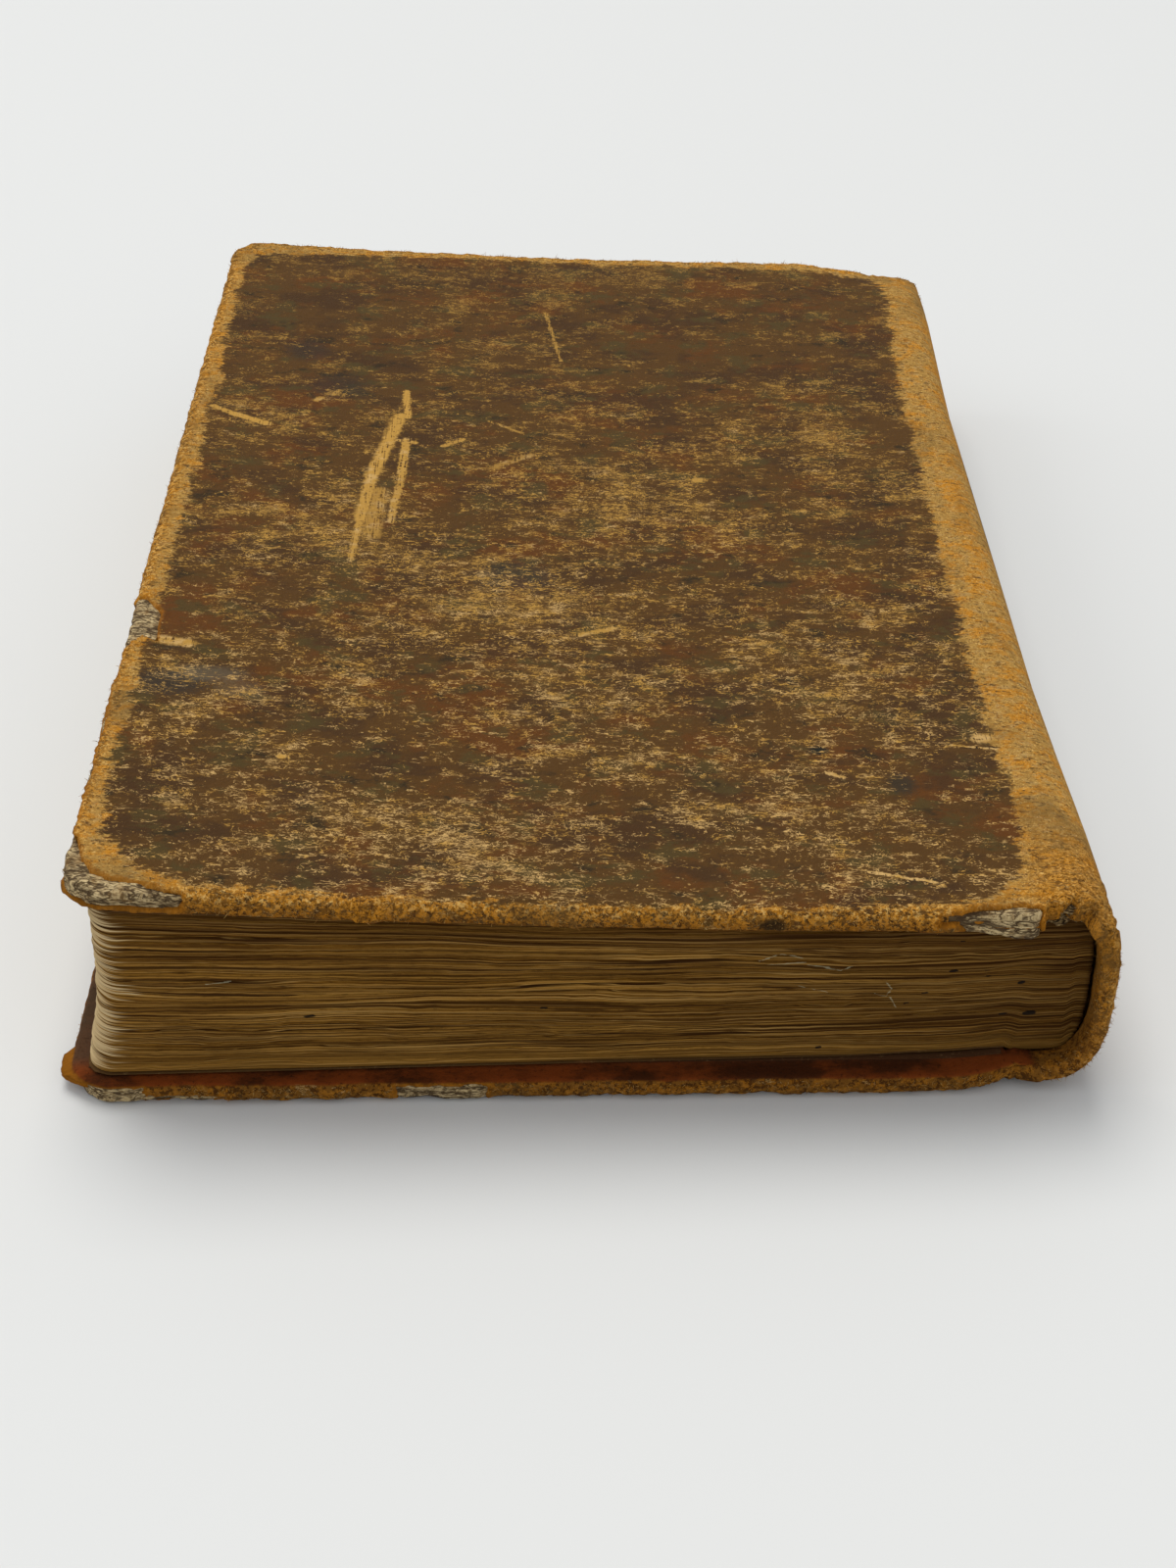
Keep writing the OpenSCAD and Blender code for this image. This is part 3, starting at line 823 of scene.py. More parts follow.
class HideCurve:
    """The hide's outer face seen from the tail: a curve over its flat width, from 0 at the front joint."""

    def __init__(self, sizes: BookSizes) -> None:
        """Joins the front cover's curve, the spine's rounded outline and the back cover's curve.

        The spine's outline raises the cosine and the sine of an angle to 2 over its power, which is 3.9 above
        its middle and 3 below.

        Args:
            sizes: The book's sizes.
        """
        self.sizes = sizes
        s = sizes
        cx, cz, a, b = s.spine_cx, s.spine_cz, s.spine_a, s.spine_b
        top = math.acos(((s.joint_x(Side.FRONT) - cx) / a) ** (s.front_power / 2))
        k = np.linspace(1, -1, 401)
        t = np.where(k > 0, top, math.pi / 2) * np.sign(k) * np.abs(k) ** 1.7
        power = np.where(t > 0, s.front_power, s.back_power)
        c = np.maximum(np.cos(t), 0) ** (2 / power)
        sn = np.sign(t) * np.abs(np.sin(t)) ** (2 / power)
        xf = np.linspace(s.fore_x(Side.FRONT), s.joint_x(Side.FRONT), 200)[:-1]
        xb = np.linspace(s.joint_x(Side.BACK), s.fore_x(Side.BACK), 240)
        x = np.concatenate([xf, cx + a * c, xb])
        z = np.concatenate([s.face_z(Side.FRONT, xf), cz + b * sn, s.face_z(Side.BACK, xb)])
        nx = np.concatenate([0 * xf, -c, 0 * xb])
        nz = np.concatenate([0 * xf - 1, -sn, 0 * xb + 1])
        flat = np.concatenate([[0.0], np.cumsum(np.hypot(np.diff(x), np.diff(z)))])
        flat -= flat[len(xf)]
        self.flat, self.x, self.z, self.nx, self.nz = flat, x, z, nx, nz
        self.bulge = np.concatenate([0 * xf, c, 0 * xb])
        self.fore = {Side.FRONT: float(flat[0]), Side.BACK: float(flat[-1])}
        self.joint = {Side.FRONT: 0.0, Side.BACK: float(flat[len(xf) + 400])}
        settle = ease(flat / 1.5)
        self.nx = self.nx * settle
        self.nz = np.where(flat < 1.5, -1 + (self.nz + 1) * settle, self.nz)

    def at(self, flat: Array, values: Array) -> Array:
        """A value of the curve at places over the flat width."""
        return np.interp(flat, self.flat, values)

    def place(self, flat: Array, y: Array, depth: Array) -> Array:
        """Points of the hide in space.

        Args:
            flat: Places over the flat width.
            y: Places from tail to head.
            depth: Depths below the outer face.

        Returns:
            Points in millimetres, one for each place.
        """
        bulge = self.at(flat, self.bulge)
        x = self.at(flat, self.x) + self.at(flat, self.nx) * depth + bulge * self.sizes.flare(y)
        z = self.at(flat, self.z) + self.at(flat, self.nz) * depth
        return np.stack([x, y, z], -1)

    def outward(self, flat: Array, in_x: Array | float, in_y: Array, down: Array) -> Array:
        """Direction that the hide faces.

        Args:
            flat: Places over the flat width.
            in_x: The part of the direction along X within the sheet.
            in_y: The part along Y.
            down: The part along the depth.

        Returns:
            One vector for each place.
        """
        x = in_x + down * self.at(flat, self.nx)
        return np.stack([x, in_y + 0 * flat, down * self.at(flat, self.nz)], -1)


@dataclass(frozen=True)
class Hide:
    """The hide over both covers and the spine, as three shells that meet past its joints.

    Attributes:
        sizes: The book's sizes.
        edge_round: Radius to which the covers' outer edges are worn.
        inner_round: Radius of the covers' inner edges.
        seam: Distance past each joint at which a cover's shell meets the spine's.
        cap_thick: Thickness of the spine's two caps, which close up to the leaves.
        reach: Distance from the fore-edge at which the shell's rows meet.
        tail_step: Distance between columns along the tail and the head.
        fore_step: Distance between columns along the fore-edge.
        cover_fibres: Fibres on each cover.
        spine_fibres: Fibres on the spine.
        grown: The pieces of fuzz that the shells have got so far.
    """

    sizes: BookSizes
    edge_round: float = 1.9
    inner_round: float = 0.9
    seam: float = 3.2
    cap_thick: float = 2.75
    reach: float = 95.0
    tail_step: float = 0.5
    fore_step: float = 0.8
    cover_fibres: int = 3200
    spine_fibres: int = 1500
    grown: list = field(default_factory=list)

    def curve(self) -> HideCurve:
        """The hide's curve."""
        return HideCurve(self.sizes)

    def profiles(self) -> tuple[Profile, Profile]:
        """The hide's line round a board, and its line round the ends of the spine."""
        s = self.sizes
        board = hide_profile(self.edge_round, self.inner_round, s.turned_d, s.turn_w, s.hide_t, s.core_d)
        spine = hide_profile(1.1, 0.7, self.cap_thick, s.cap_turn, 0.85, 0.9)
        inside = (spine.inset > s.tail_square - 0.3) & (spine.depth > 1.0)
        inside &= np.arange(len(spine.inset)) > 40
        return board, Profile(spine.inset, spine.share, np.where(inside, s.hide_t + s.lining_t, spine.depth))

    def line_at(self, flat: Array, curve: HideCurve) -> tuple[Array, Array, Array, Array, Array]:
        """Blends the board's line into the spine's at each joint.

        Args:
            flat: Places over the flat width, one for each column.
            curve: The hide's curve.

        Returns:
            Inset, share, depth and the two parts of the normal, for each column and row.
        """
        board, spine = self.profiles()
        past_front = ease(flat + 2.0)
        past_back = ease(curve.joint[Side.BACK] + 2.0 - flat)
        k = np.minimum(past_front, past_back)[:, None]
        parts = []
        for first, second in zip((board.inset, board.share, board.depth, *board.normals()),
                                 (spine.inset, spine.share, spine.depth, *spine.normals())):
            parts.append(first[None, :] * (1 - k) + second[None, :] * k)
        from_joint = np.minimum(np.abs(flat), np.abs(flat - curve.joint[Side.BACK]))[:, None]
        thick = k * ease((spine.depth - 0.9)[None, :] / 1.8) * hump(from_joint / 5.0)
        parts[2] = parts[2] + (self.sizes.turned_d - self.cap_thick) * thick
        return tuple(parts)

    def notch(self, flat: Array, end: float, curve: HideCurve) -> Array:
        """How far the edge is torn away at the tail (end -1) or the head (end 1), in millimetres."""
        at = np.stack([flat, 0 * flat, 0 * flat + 5 * end], -1)
        worn = 0.35 * GRAIN.rough(at, 5.0) + 0.16 * GRAIN.rough(at, 1.3)
        if end > 0:
            cap = 1.6 * hump((flat - 9.0) / 5.0) + 0.5 * hump((flat + 2.0) / 3.0)
            return 0.25 + worn + cap
        torn = ease((flat + 1.9) / 0.5) * ease((6.3 - flat) / 0.9) * (3.0 + 1.7 * GRAIN.rough(at, 1.3))
        cap = 0.9 * hump((flat - 9.4) / 1.1) + 0.5 * hump((flat - 12.5) / 0.8)
        hanging = -0.5 * hump((flat + 94.4) / 1.3) + 0.4 * hump((flat + 97.6) / 1.0)
        back = 0.5 * hump((flat - curve.joint[Side.BACK] - 0.5) / 0.5)
        return 0.12 + worn + torn + cap + hanging + back

    def relief(self, side: Side | None, flat: Array, y: Array, depth: Array, inset: Array,
               x: Array) -> tuple[Array, Array]:
        """How far the hide stands out of its smooth form.

        Broad and fine random fields are added, the finer ones mostly near the edges. Where the hide is worn
        through it sinks below the pasteboard, with a raised lip round the place.

        Args:
            side: The cover, or None for the spine.
            flat: Places over the flat width.
            y: Places from tail to head.
            depth: Depths below the outer face.
            inset: Distances from the outline.
            x: Places in X.

        Returns:
            The height in millimetres, and the distance into the nearest worn place.
        """
        at = np.stack([flat, y, depth], -1)
        near = hump(inset / 4.5)
        out = 0.16 * GRAIN.rough(at, 14.0, 2) + 0.05 * GRAIN.rough(at, 3.0, 2)
        out = out + near * (0.17 * GRAIN.rough(at, 2.6) + 0.22 * GRAIN.rough(at, 0.9, 2))
        joint = self.curve().joint[Side.BACK]
        tail = hump((y + self.sizes.half_h) / 5.0)
        out = out + tail * hump((flat - joint + 1.0) / 5.0) * (0.5 * GRAIN.rough(at, 1.9, 3) - 0.1)
        out = out + tail * hump((flat - 5.0) / 6.0) * (0.75 * GRAIN.rough(at, 1.6, 3) - 0.1)
        swollen = tail * hump((flat + 95.4) / 2.6) * (0.7 + 1.0 * GRAIN.rough(at, 1.2, 2))
        out = out + swollen * ease((depth + 0.6) / 1.2)
        crumbled = ease((-y - 84) / 20) * hump((flat - 7) / 9.0) * ease((14 - inset) / 3)
        out = out + crumbled * (0.50 * GRAIN.rough(at, 2.2) + 0.34 * GRAIN.rough(at, 1.0, 2))
        worn = np.full(flat.shape, OUTSIDE)
        if side is not None:
            worn = place_inside(side, x, y, depth)
            lip = hump((worn + 0.55) / 0.5) * (0.5 + 0.9 * GRAIN.field(at, 1.1))
            out = out + 0.3 * lip - 1.5 * ease((worn + 0.18) / 0.36)
        return out, worn

    def columns(self, side: Side, curve: HideCurve) -> tuple[Array, Array, Array, Array, Array]:
        """Columns round a cover's three free edges, from the seam at the tail to the seam at the head.

        Args:
            side: The cover.
            curve: The hide's curve.

        Returns:
            Each column's distance from the fore-edge and Y on the outline, its distance from the fore-edge
            where it ends in the middle, the length that it spans, and its angle round the cover in radians,
            from 0 at the tail over half of pi at the fore-edge to pi at the head.
        """
        s = self.sizes
        r = s.corner_r + s.hide_t
        span = abs(curve.joint[side] - curve.fore[side]) + self.seam
        tail_u = np.concatenate([np.linspace(span, span - 9, 30)[:-1],
                                 np.linspace(span - 9, r, int((span - 9 - r) / self.tail_step))])
        turn = np.radians(np.linspace(0, 90, 20))[1:-1]
        fore_y = np.linspace(-s.half_h + r, s.half_h - r, int((2 * s.half_h - 2 * r) / self.fore_step))
        u = np.concatenate([tail_u, r - r * np.sin(turn), 0 * fore_y, r - r * np.cos(turn), tail_u[::-1]])
        y = np.concatenate([0 * tail_u - s.half_h, -s.half_h + r - r * np.cos(turn), fore_y,
                            s.half_h - r + r * np.sin(turn), 0 * tail_u + s.half_h])
        along = np.concatenate([0 * tail_u, turn, 0 * fore_y + math.pi / 2, math.pi / 2 + turn,
                                0 * tail_u + math.pi])
        start = self.reach
        middle = np.where(np.sin(along) > 1e-6, start, start + u * (span - start) / span)
        rho = s.half_h + (start - s.half_h) * np.sin(along) ** 2
        return u, y, middle, rho, along

    def cover(self, side: Side) -> bpy.types.Object:
        """Builds a cover's shell: each column runs from the outline straight to the cover's middle line.

        Args:
            side: The cover.

        Returns:
            The piece.
        """
        s, curve = self.sizes, self.curve()
        u, y0, middle, rho, along = self.columns(side, curve)
        sign = 1.0 if side is Side.FRONT else -1.0
        flat0 = curve.fore[side] + sign * u
        inset, share, depth, ne, nd = self.line_at(flat0, curve)
        tail = np.where(np.cos(along) > 0.5, self.notch(flat0, -1, curve), 0.0)
        head = np.where(np.cos(along) < -0.5, self.notch(flat0, 1, curve), 0.0)
        notch = ((tail + head) * np.abs(np.cos(along)))[:, None] * hump(inset / 7)
        k = (inset + notch) / rho[:, None] * (1 - share) + share
        uu = u[:, None] + k * (middle - u)[:, None]
        y = y0[:, None] * (1 - k)
        flat = curve.fore[side] + sign * uu
        base = curve.place(flat, y, depth)
        height, worn = self.relief(side, flat, y, depth, inset, base[..., 0])
        out = curve.outward(flat, ne * np.sin(along)[:, None] * sign, ne * np.cos(along)[:, None], nd)
        base += (height * self.shown(inset, share, depth, nd, 15.2))[..., None] * out
        self.stretch(side, base, flat, y)
        self.sink_head(base, flat, y)
        if side is Side.BACK:
            base[..., 2] = np.maximum(base[..., 2], 0.02)
        fields = self.fields(flat, y, depth, worn, np.where(share > 0, FAR_FROM_EDGE, inset + 0 * flat))
        rigid = (flat < -3.5) if side is Side.FRONT else (flat > curve.joint[side] + 3.5)
        self.grow_fuzz(side.value, base, out, fields, rigid, self.cover_fibres)
        return shell(f"{side.value}_skin", base, fields, side is Side.BACK)

    def grow_fuzz(self, name: str, points: Array, out: Array, fields: dict[str, Array], where: Array,
                  count: int) -> None:
        """Grows fibres on a shell's rubbed edges, most of them round its rim.

        Args:
            name: First word of the piece's name.
            points: The shell's points.
            out: Outward directions.
            fields: The shell's stored fields.
            where: Which points may carry fibres.
            count: How many fibres are grown.
        """
        depth = fields["hide"][:, 2]
        bare = ease(0.6 - fields["panel"]) * (depth < 3.2) * (fields["worn"] < -0.2) * where.ravel()
        bare = bare * (points[..., 2] + 0.9 * out[..., 2] > 1.0).ravel()
        share = bare * (0.06 + hump((fields["edge"] - 0.5) / 2.2))
        clumps = GRAIN.rough(points.reshape(-1, 3), 6.0, 2)
        share = share * np.clip(0.35 + clumps, 0.02, 2)
        dice = np.random.default_rng(7)
        chosen = dice.choice(len(share), count, p=share / share.sum())
        roots = points.reshape(-1, 3)[chosen] + dice.uniform(-0.15, 0.15, (count, 3))
        piece = Fuzz().build(f"{name}_fuzz", roots, out.reshape(-1, 3)[chosen], 11)
        self.grown.append(piece)

    def shown(self, inset: Array, share: Array, depth: Array, nd: Array, end: float) -> Array:
        """Share of the relief that each point gets.

        It is 1 on the outer face and the walls, 0.35 on the turn-ins, and 0 on what can't be seen, which
        starts at the underside of the turn-in.

        Args:
            inset: Distances from the outline.
            share: Shares of the way to the middle.
            depth: Depths below the outer face.
            nd: How far the surface faces down the depth.
            end: Distance from the outline at which the turn-in's relief has ended.

        Returns:
            The share, by column and row.
        """
        board, _ = self.profiles()
        seen = int(np.argmax(board.inset > self.sizes.turn_w - 0.2) + 1)
        near = ease((end - inset) / 0.4) * (np.arange(inset.shape[1]) < seen)[None, :]
        return np.where(share > 0, 1.0 * (depth < 0.4), near) * np.where(nd > 0.5, 0.35, 1.0)

    def stretch(self, side: Side, points: Array, flat: Array, y: Array) -> None:
        """Draws out the front cover's head, whose fore-edge corner kicks up, and the back cover's tail."""
        if side is Side.FRONT:
            head = ease((y - 62) / 50) * ease((-flat - 3) / 16)
            kick = hump((flat + 131) / 9.0) * hump((y - 112) / 7.0)
            points[..., 2] += 0.55 * head * ease((flat + 136) / 20) + 0.6 * kick
            points[..., 1] += 2.8 * head + 0.5 * kick
        else:
            joint = self.curve().joint[Side.BACK]
            points[..., 1] -= 1.1 * ease((-y - 60) / 50) * ease((flat - joint - 1) / 8)

    @staticmethod
    def sink_head(points: Array, flat: Array, y: Array) -> None:
        """Lowers the worn head of the spine near the front joint."""
        low = hump((flat - 1.5) / 5.0) * ease((y - 98) / 13.0)
        points[..., 2] -= 1.2 * low

    def fields(self, flat: Array, y: Array, depth: Array, worn: Array, edge: Array) -> dict[str, Array]:
        """What the finish reads: flat places, and distances into the dark panel, worn places and edge."""
        place = np.stack([flat, y, depth], -1).reshape(-1, 3)
        return {"hide": place, "panel": self.panel(flat, y, depth).ravel(), "worn": worn.ravel(),
                "edge": edge.ravel()}

    def panel(self, flat: Array, y: Array, depth: Array) -> Array:
        """Distance in millimetres into the dark grain that is left, which is rubbed off along every edge."""
        curve = self.curve()
        mirrored = np.where(flat > curve.joint[Side.BACK] / 2, curve.joint[Side.BACK] - flat, flat)
        left = WornPlace(PANEL).inside(mirrored + PANEL_MIDDLE, y, depth)
        off = np.abs(flat - curve.joint[Side.BACK] / 2 - 1.5) / 13.5
        at = np.stack([flat, y, depth], -1)
        spine = 10 * (1 - off**2.2 - (np.abs(y) / 93) ** 3.5) + 7 * GRAIN.rough(at, (9.0, 17.0, 9.0))
        return np.maximum(left, np.where(mirrored > 3, spine, OUTSIDE)) - 4 * ease((depth - 0.15) / 1.0)

    def spine(self) -> bpy.types.Object:
        """Builds the spine's shell: each row runs round the spine, and the columns round its two ends."""
        s, curve = self.sizes, self.curve()
        low, high = self.seam, curve.joint[Side.BACK] - self.seam
        flat0 = np.linspace(low, high, int((high - low) / 0.5))
        inset, share, depth, ne, nd = self.line_at(flat0, curve)
        halves, marks, outs = [], [], []
        for end in (-1, 1):
            notch = self.notch(flat0, end, curve)[:, None] * hump(inset / 7)
            k = (inset + notch) / s.half_h * (1 - share) + share
            y = end * s.half_h * (1 - k)
            flat = flat0[:, None] + 0 * y
            base = curve.place(flat, y, depth)
            height, worn = self.relief(None, flat, y, depth, inset, base[..., 0])
            out = curve.outward(flat, 0.0, -ne * end, nd)
            base += (height * self.shown(inset, share, depth, nd, 15.6))[..., None] * out
            self.sink_head(base, flat, y)
            outs.append(out)
            halves.append(base)
            edge = np.where(share > 0, FAR_FROM_EDGE, inset + 0 * flat)
            marks.append(np.stack([flat, y, depth, worn, edge], -1))
        loop, mark, out = (np.concatenate([tail, head[:, ::-1]], axis=1)
                           for tail, head in (halves, marks, outs))
        fields = self.fields(*np.moveaxis(mark, -1, 0))
        self.grow_fuzz("spine", loop, out, fields, np.ones(mark.shape[:2], bool), self.spine_fibres)
        return shell("spine_skin", loop, fields, True, True)


# Outline of the dark panel on a cover, in X and Y from the cover's middle, and how far that is from the joint
PANEL_MIDDLE = 65.05
PANEL = (
    (-66.0, 104.5), (-68.4, 98.0), (-68.75, 72.1), (-67.55, 49.1), (-68.35, 29.1), (-67.75, 13.1),
    (-67.75, -30.9), (-68.35, -54.9), (-68.75, -83.9), (-67.4, -97.0), (-62.6, -104.5), (-55.35, -108.2),
    (-39.35, -109.4), (-12.85, -109.7), (13.75, -110.1), (27.15, -109.9), (40.65, -109.2), (54.35, -108.0),
    (61.65, -102.1), (62.7, -90.5), (62.9, -75.6), (61.9, -63.9), (61.6, -39.9), (62.4, -10.9), (62.6, 37.1),
    (62.9, 58.6), (64.2, 81.7), (65.2, 99.0), (62.5, 105.5), (20.0, 106.8), (-30.0, 107.2),
)


# The pasteboards


@dataclass(frozen=True)
class Pasteboards:
    """The two pasteboards, each a closed slab that swells out to the cover's face where the hide is worn off.

    Attributes:
        sizes: The book's sizes.
        hide: The hide, whose columns the slabs share.
        end_round: Radius of the slabs' corners at the joint.
    """

    sizes: BookSizes
    hide: Hide
    end_round: float = 1.3

    def profile(self) -> Profile:
        """The slab's line: outer face, wall and inner face."""
        s = self.sizes
        outer = [(14.0, q, s.hide_t) for q in (1.0, 0.5, 0.2, 0.05)]
        insets = np.concatenate([np.arange(14.0, 8.0, -1.0), np.arange(8.0, 1.2, -0.3)])
        flat = [(e, 0.0, s.hide_t) for e in insets]
        wall = [(s.hide_t, 0.0, s.hide_t + 0.15 + (s.board_t - 0.3) * k / 12) for k in range(13)]
        inner = [(e, 0.0, s.core_d) for e in (1.2, 3.0, 8.0, 14.0)]
        far = [(14.0, q, s.core_d) for q in (0.1, 0.5, 1.0)]
        line = np.array(outer + flat + wall + inner + far)
        return Profile(line[:, 0], line[:, 1], line[:, 2])

    def build(self, side: Side) -> bpy.types.Object:
        """Builds a slab.

        Args:
            side: The cover that it is in.

        Returns:
            The piece.
        """
        s, curve = self.sizes, self.hide.curve()
        u, y0, middle, rho, along = self.hide.columns(side, curve)
        sign = 1.0 if side is Side.FRONT else -1.0
        span = abs(curve.joint[side] - curve.fore[side]) - s.joint_w
        scale = span / u.max()
        u, middle = u * scale, middle * scale
        line = self.profile()
        ne, nd = (n[None, :] for n in line.normals())
        inset, share, depth = (v[None, :] + 0 * u[:, None] for v in (line.inset, line.share, line.depth))
        from_joint = np.minimum(span - u, self.end_round)
        fall = self.end_round - np.sqrt(self.end_round**2 - np.square(self.end_round - from_joint))
        fall = (fall * np.abs(np.cos(along)))[:, None] * hump(inset / 6)
        k = (inset + fall) / rho[:, None] * (1 - share) + share
        uu = u[:, None] + k * (middle - u)[:, None]
        y = y0[:, None] * (1 - k)
        flat = curve.fore[side] + sign * uu
        base = curve.place(flat, y, depth)
        worn = place_inside(side, base[..., 0], y, np.where(inset > 1.0, 0.2, depth * 1.05 - 0.5))
        open_share = ease((worn + 0.6) / 0.5) * (np.arange(inset.shape[1]) < len(line.inset) - 7)[None, :]
        at = np.stack([flat, y, depth], -1)
        layers = GRAIN.rough(at, (7.0, 1.0, 0.45), 2)
        fibre = GRAIN.rough(at, (3.0, 1.3, 1.1), 3)
        rise = open_share * (0.55 + 0.40 * layers + 0.40 * fibre - 0.25 * hump((worn - 0.1) / 0.5))
        out = curve.outward(flat, ne * np.sin(along)[:, None] * sign, ne * np.cos(along)[:, None], nd)
        base += rise[..., None] * out
        self.hide.stretch(side, base, flat, y)
        if side is Side.FRONT:
            swell = ease((base[..., 0] - 53) / 7) * ease((-107.6 - y) / 1.6) * ease((depth - 0.9) / 2.2)
            base[..., 2] -= 1.3 * swell * (1 + 0.3 * GRAIN.rough(at, 1.4, 2))
        fields = {"hide": at.reshape(-1, 3), "worn": worn.ravel(), "push": rise.ravel()}
        return shell(f"{side.value}_pasteboard", base, fields, side is Side.BACK)


# The leaves


@dataclass(frozen=True)
class Leaves:
    """The sewn leaves as one solid, with the edges of its gatherings and leaves in relief.

    Attributes:
        sizes: The book's sizes.
        leaves_shown: Ridges that each gathering shows.
        valley: Depth of the grooves between gatherings.
        waviness: Height by which the leaves wander along their length.
    """

    sizes: BookSizes
    leaves_shown: int = 8
    valley: float = 0.44
    waviness: float = 0.85

    def build(self) -> bpy.types.Object:
        """Builds the block: rows for the levels, and columns round tail, fore-edge and head.

        A column is a share of the way from the spine to the corner, an angle round the corner, or a share of
        the fore-edge. The two halves of a row are joined across the first and the last level and at the back.

        Returns:
            The piece.
        """
        s = self.sizes
        levels = s.gatherings * self.leaves_shown
        w = np.linspace(0, 1, levels + 1)[:, None]
        r = s.leaf_corner
        x0, x1 = s.leaf_fore_x(w), s.leaf_back_x(w)
        p = np.linspace(0, 1, 120) ** 1.15
        turn = np.radians(np.linspace(0, 90, 10))[1:-1]
        q = np.linspace(0, 1, 130)
        tail_x = x1 + (x0 + r - x1) * p
        turn_x = x0 + r - r * np.sin(turn)
        fore_x = x0 + 0 * q
        half = s.leaf_half
        x = np.concatenate([tail_x, turn_x, fore_x, turn_x[:, ::-1], tail_x[:, ::-1]], axis=1)
        flat_y = np.concatenate([0 * p - half, -half + r - r * np.cos(turn), (2 * q - 1) * (half - r),
                                 (half - r + r * np.cos(turn))[::-1], 0 * p + half])
        y = flat_y[None, :] + s.leaf_shift(x)
        along = np.concatenate([0 * p, turn, 0 * q + math.pi / 2, (math.pi - turn)[::-1], 0 * p + math.pi])
        out_x, out_y = -np.sin(along)[None, :], -np.cos(along)[None, :]
        run = np.concatenate([[0], np.cumsum(np.hypot(np.diff(x[0]), np.diff(y[0])))])[None, :] + 0 * x
        z = s.level_z(x, w)
        out, lift = self.relief(run, w + 0 * x, x, z)
        x = x + out * out_x
        y = y + out * out_y
        z = z + lift
        rows, cols = x.shape
        quads = grid_faces(rows, cols, flip=True)
        j = np.arange(cols // 2 - 1)
        lid = np.stack([j, j + 1, cols - 2 - j, cols - 1 - j], -1)
        top = lid[:, ::-1] + (rows - 1) * cols
        i = np.arange(rows - 1)[:, None]
        back = np.concatenate([i * cols, i * cols + cols - 1, (i + 1) * cols + cols - 1, (i + 1) * cols], 1)
        faces = np.concatenate([quads, lid[:, ::-1], top[:, ::-1], back[:, ::-1]]).tolist()
        fields = {"leaf": np.stack([run, s.block_t * w + 0 * x, 0 * x], -1).reshape(-1, 3),
                  "proud": out.ravel(), "level": (w + 0 * x).ravel()}
        return new_piece("leaf_block", np.stack([x, y, z], -1).reshape(-1, 3), faces, fields, WELD)

    def relief(self, run: Array, w: Array, x: Array, z: Array) -> tuple[Array, Array]:
        """How far each leaf stands out, and how far it has wandered up or down.

        Grooves follow the lines between gatherings, each with its own depth, and each leaf has its own small
        reach. Both change slowly along the edge.

        Args:
            run: Distance round the edges from the spine at the tail.
            w: Level from 0 at the back to 1 at the front.
            x: Places in X.
            z: Heights.

        Returns:
            Outward and upward moves in millimetres.
        """
        s = self.sizes
        part = w * s.gatherings
        line = np.round(part)
        away = np.abs(part - line) * self.leaves_shown
        own = np.stack([run / 48.0, line * 5.1, 0 * run], -1)
        deep = 0.55 + 0.75 * GRAIN.field(own, (1.0, 2.3, 1.0))
        groove = -self.valley * np.clip(deep, 0.05, 1.4) * hump(away / 0.45)
        each = np.stack([run / 22.0, w * s.gatherings * self.leaves_shown * 0.9, 0 * run + 3.0], -1)
        leaf = 0.13 * GRAIN.field(each, 1.0) + 0.07 * GRAIN.field(each * np.array([3.0, 1.0, 1.0]), 1.0)
        clump = np.stack([run / 40.0, w * s.gatherings * 2.3, 0 * run + 5.0], -1)
        leaf = leaf + 0.17 * GRAIN.field(clump, 1.0)
        broad = np.stack([run, w * 60, 0 * run], -1)
        swell = 0.28 * GRAIN.rough(broad, (38.0, 16.0, 9.0), 2)
        edge = ease(w / 0.05) * ease((1 - w) / 0.05)
        wander = np.stack([run / 36.0, w * 4.0, 0 * run + 9.0], -1)
        wave = GRAIN.rough(wander, (1.0, 0.6, 1.0), 3) * self.waviness
        near_spine = ease((s.knee_x - 1 - x) / 9.0)
        return groove + leaf + swell * edge - 0.15, wave * edge * near_spine


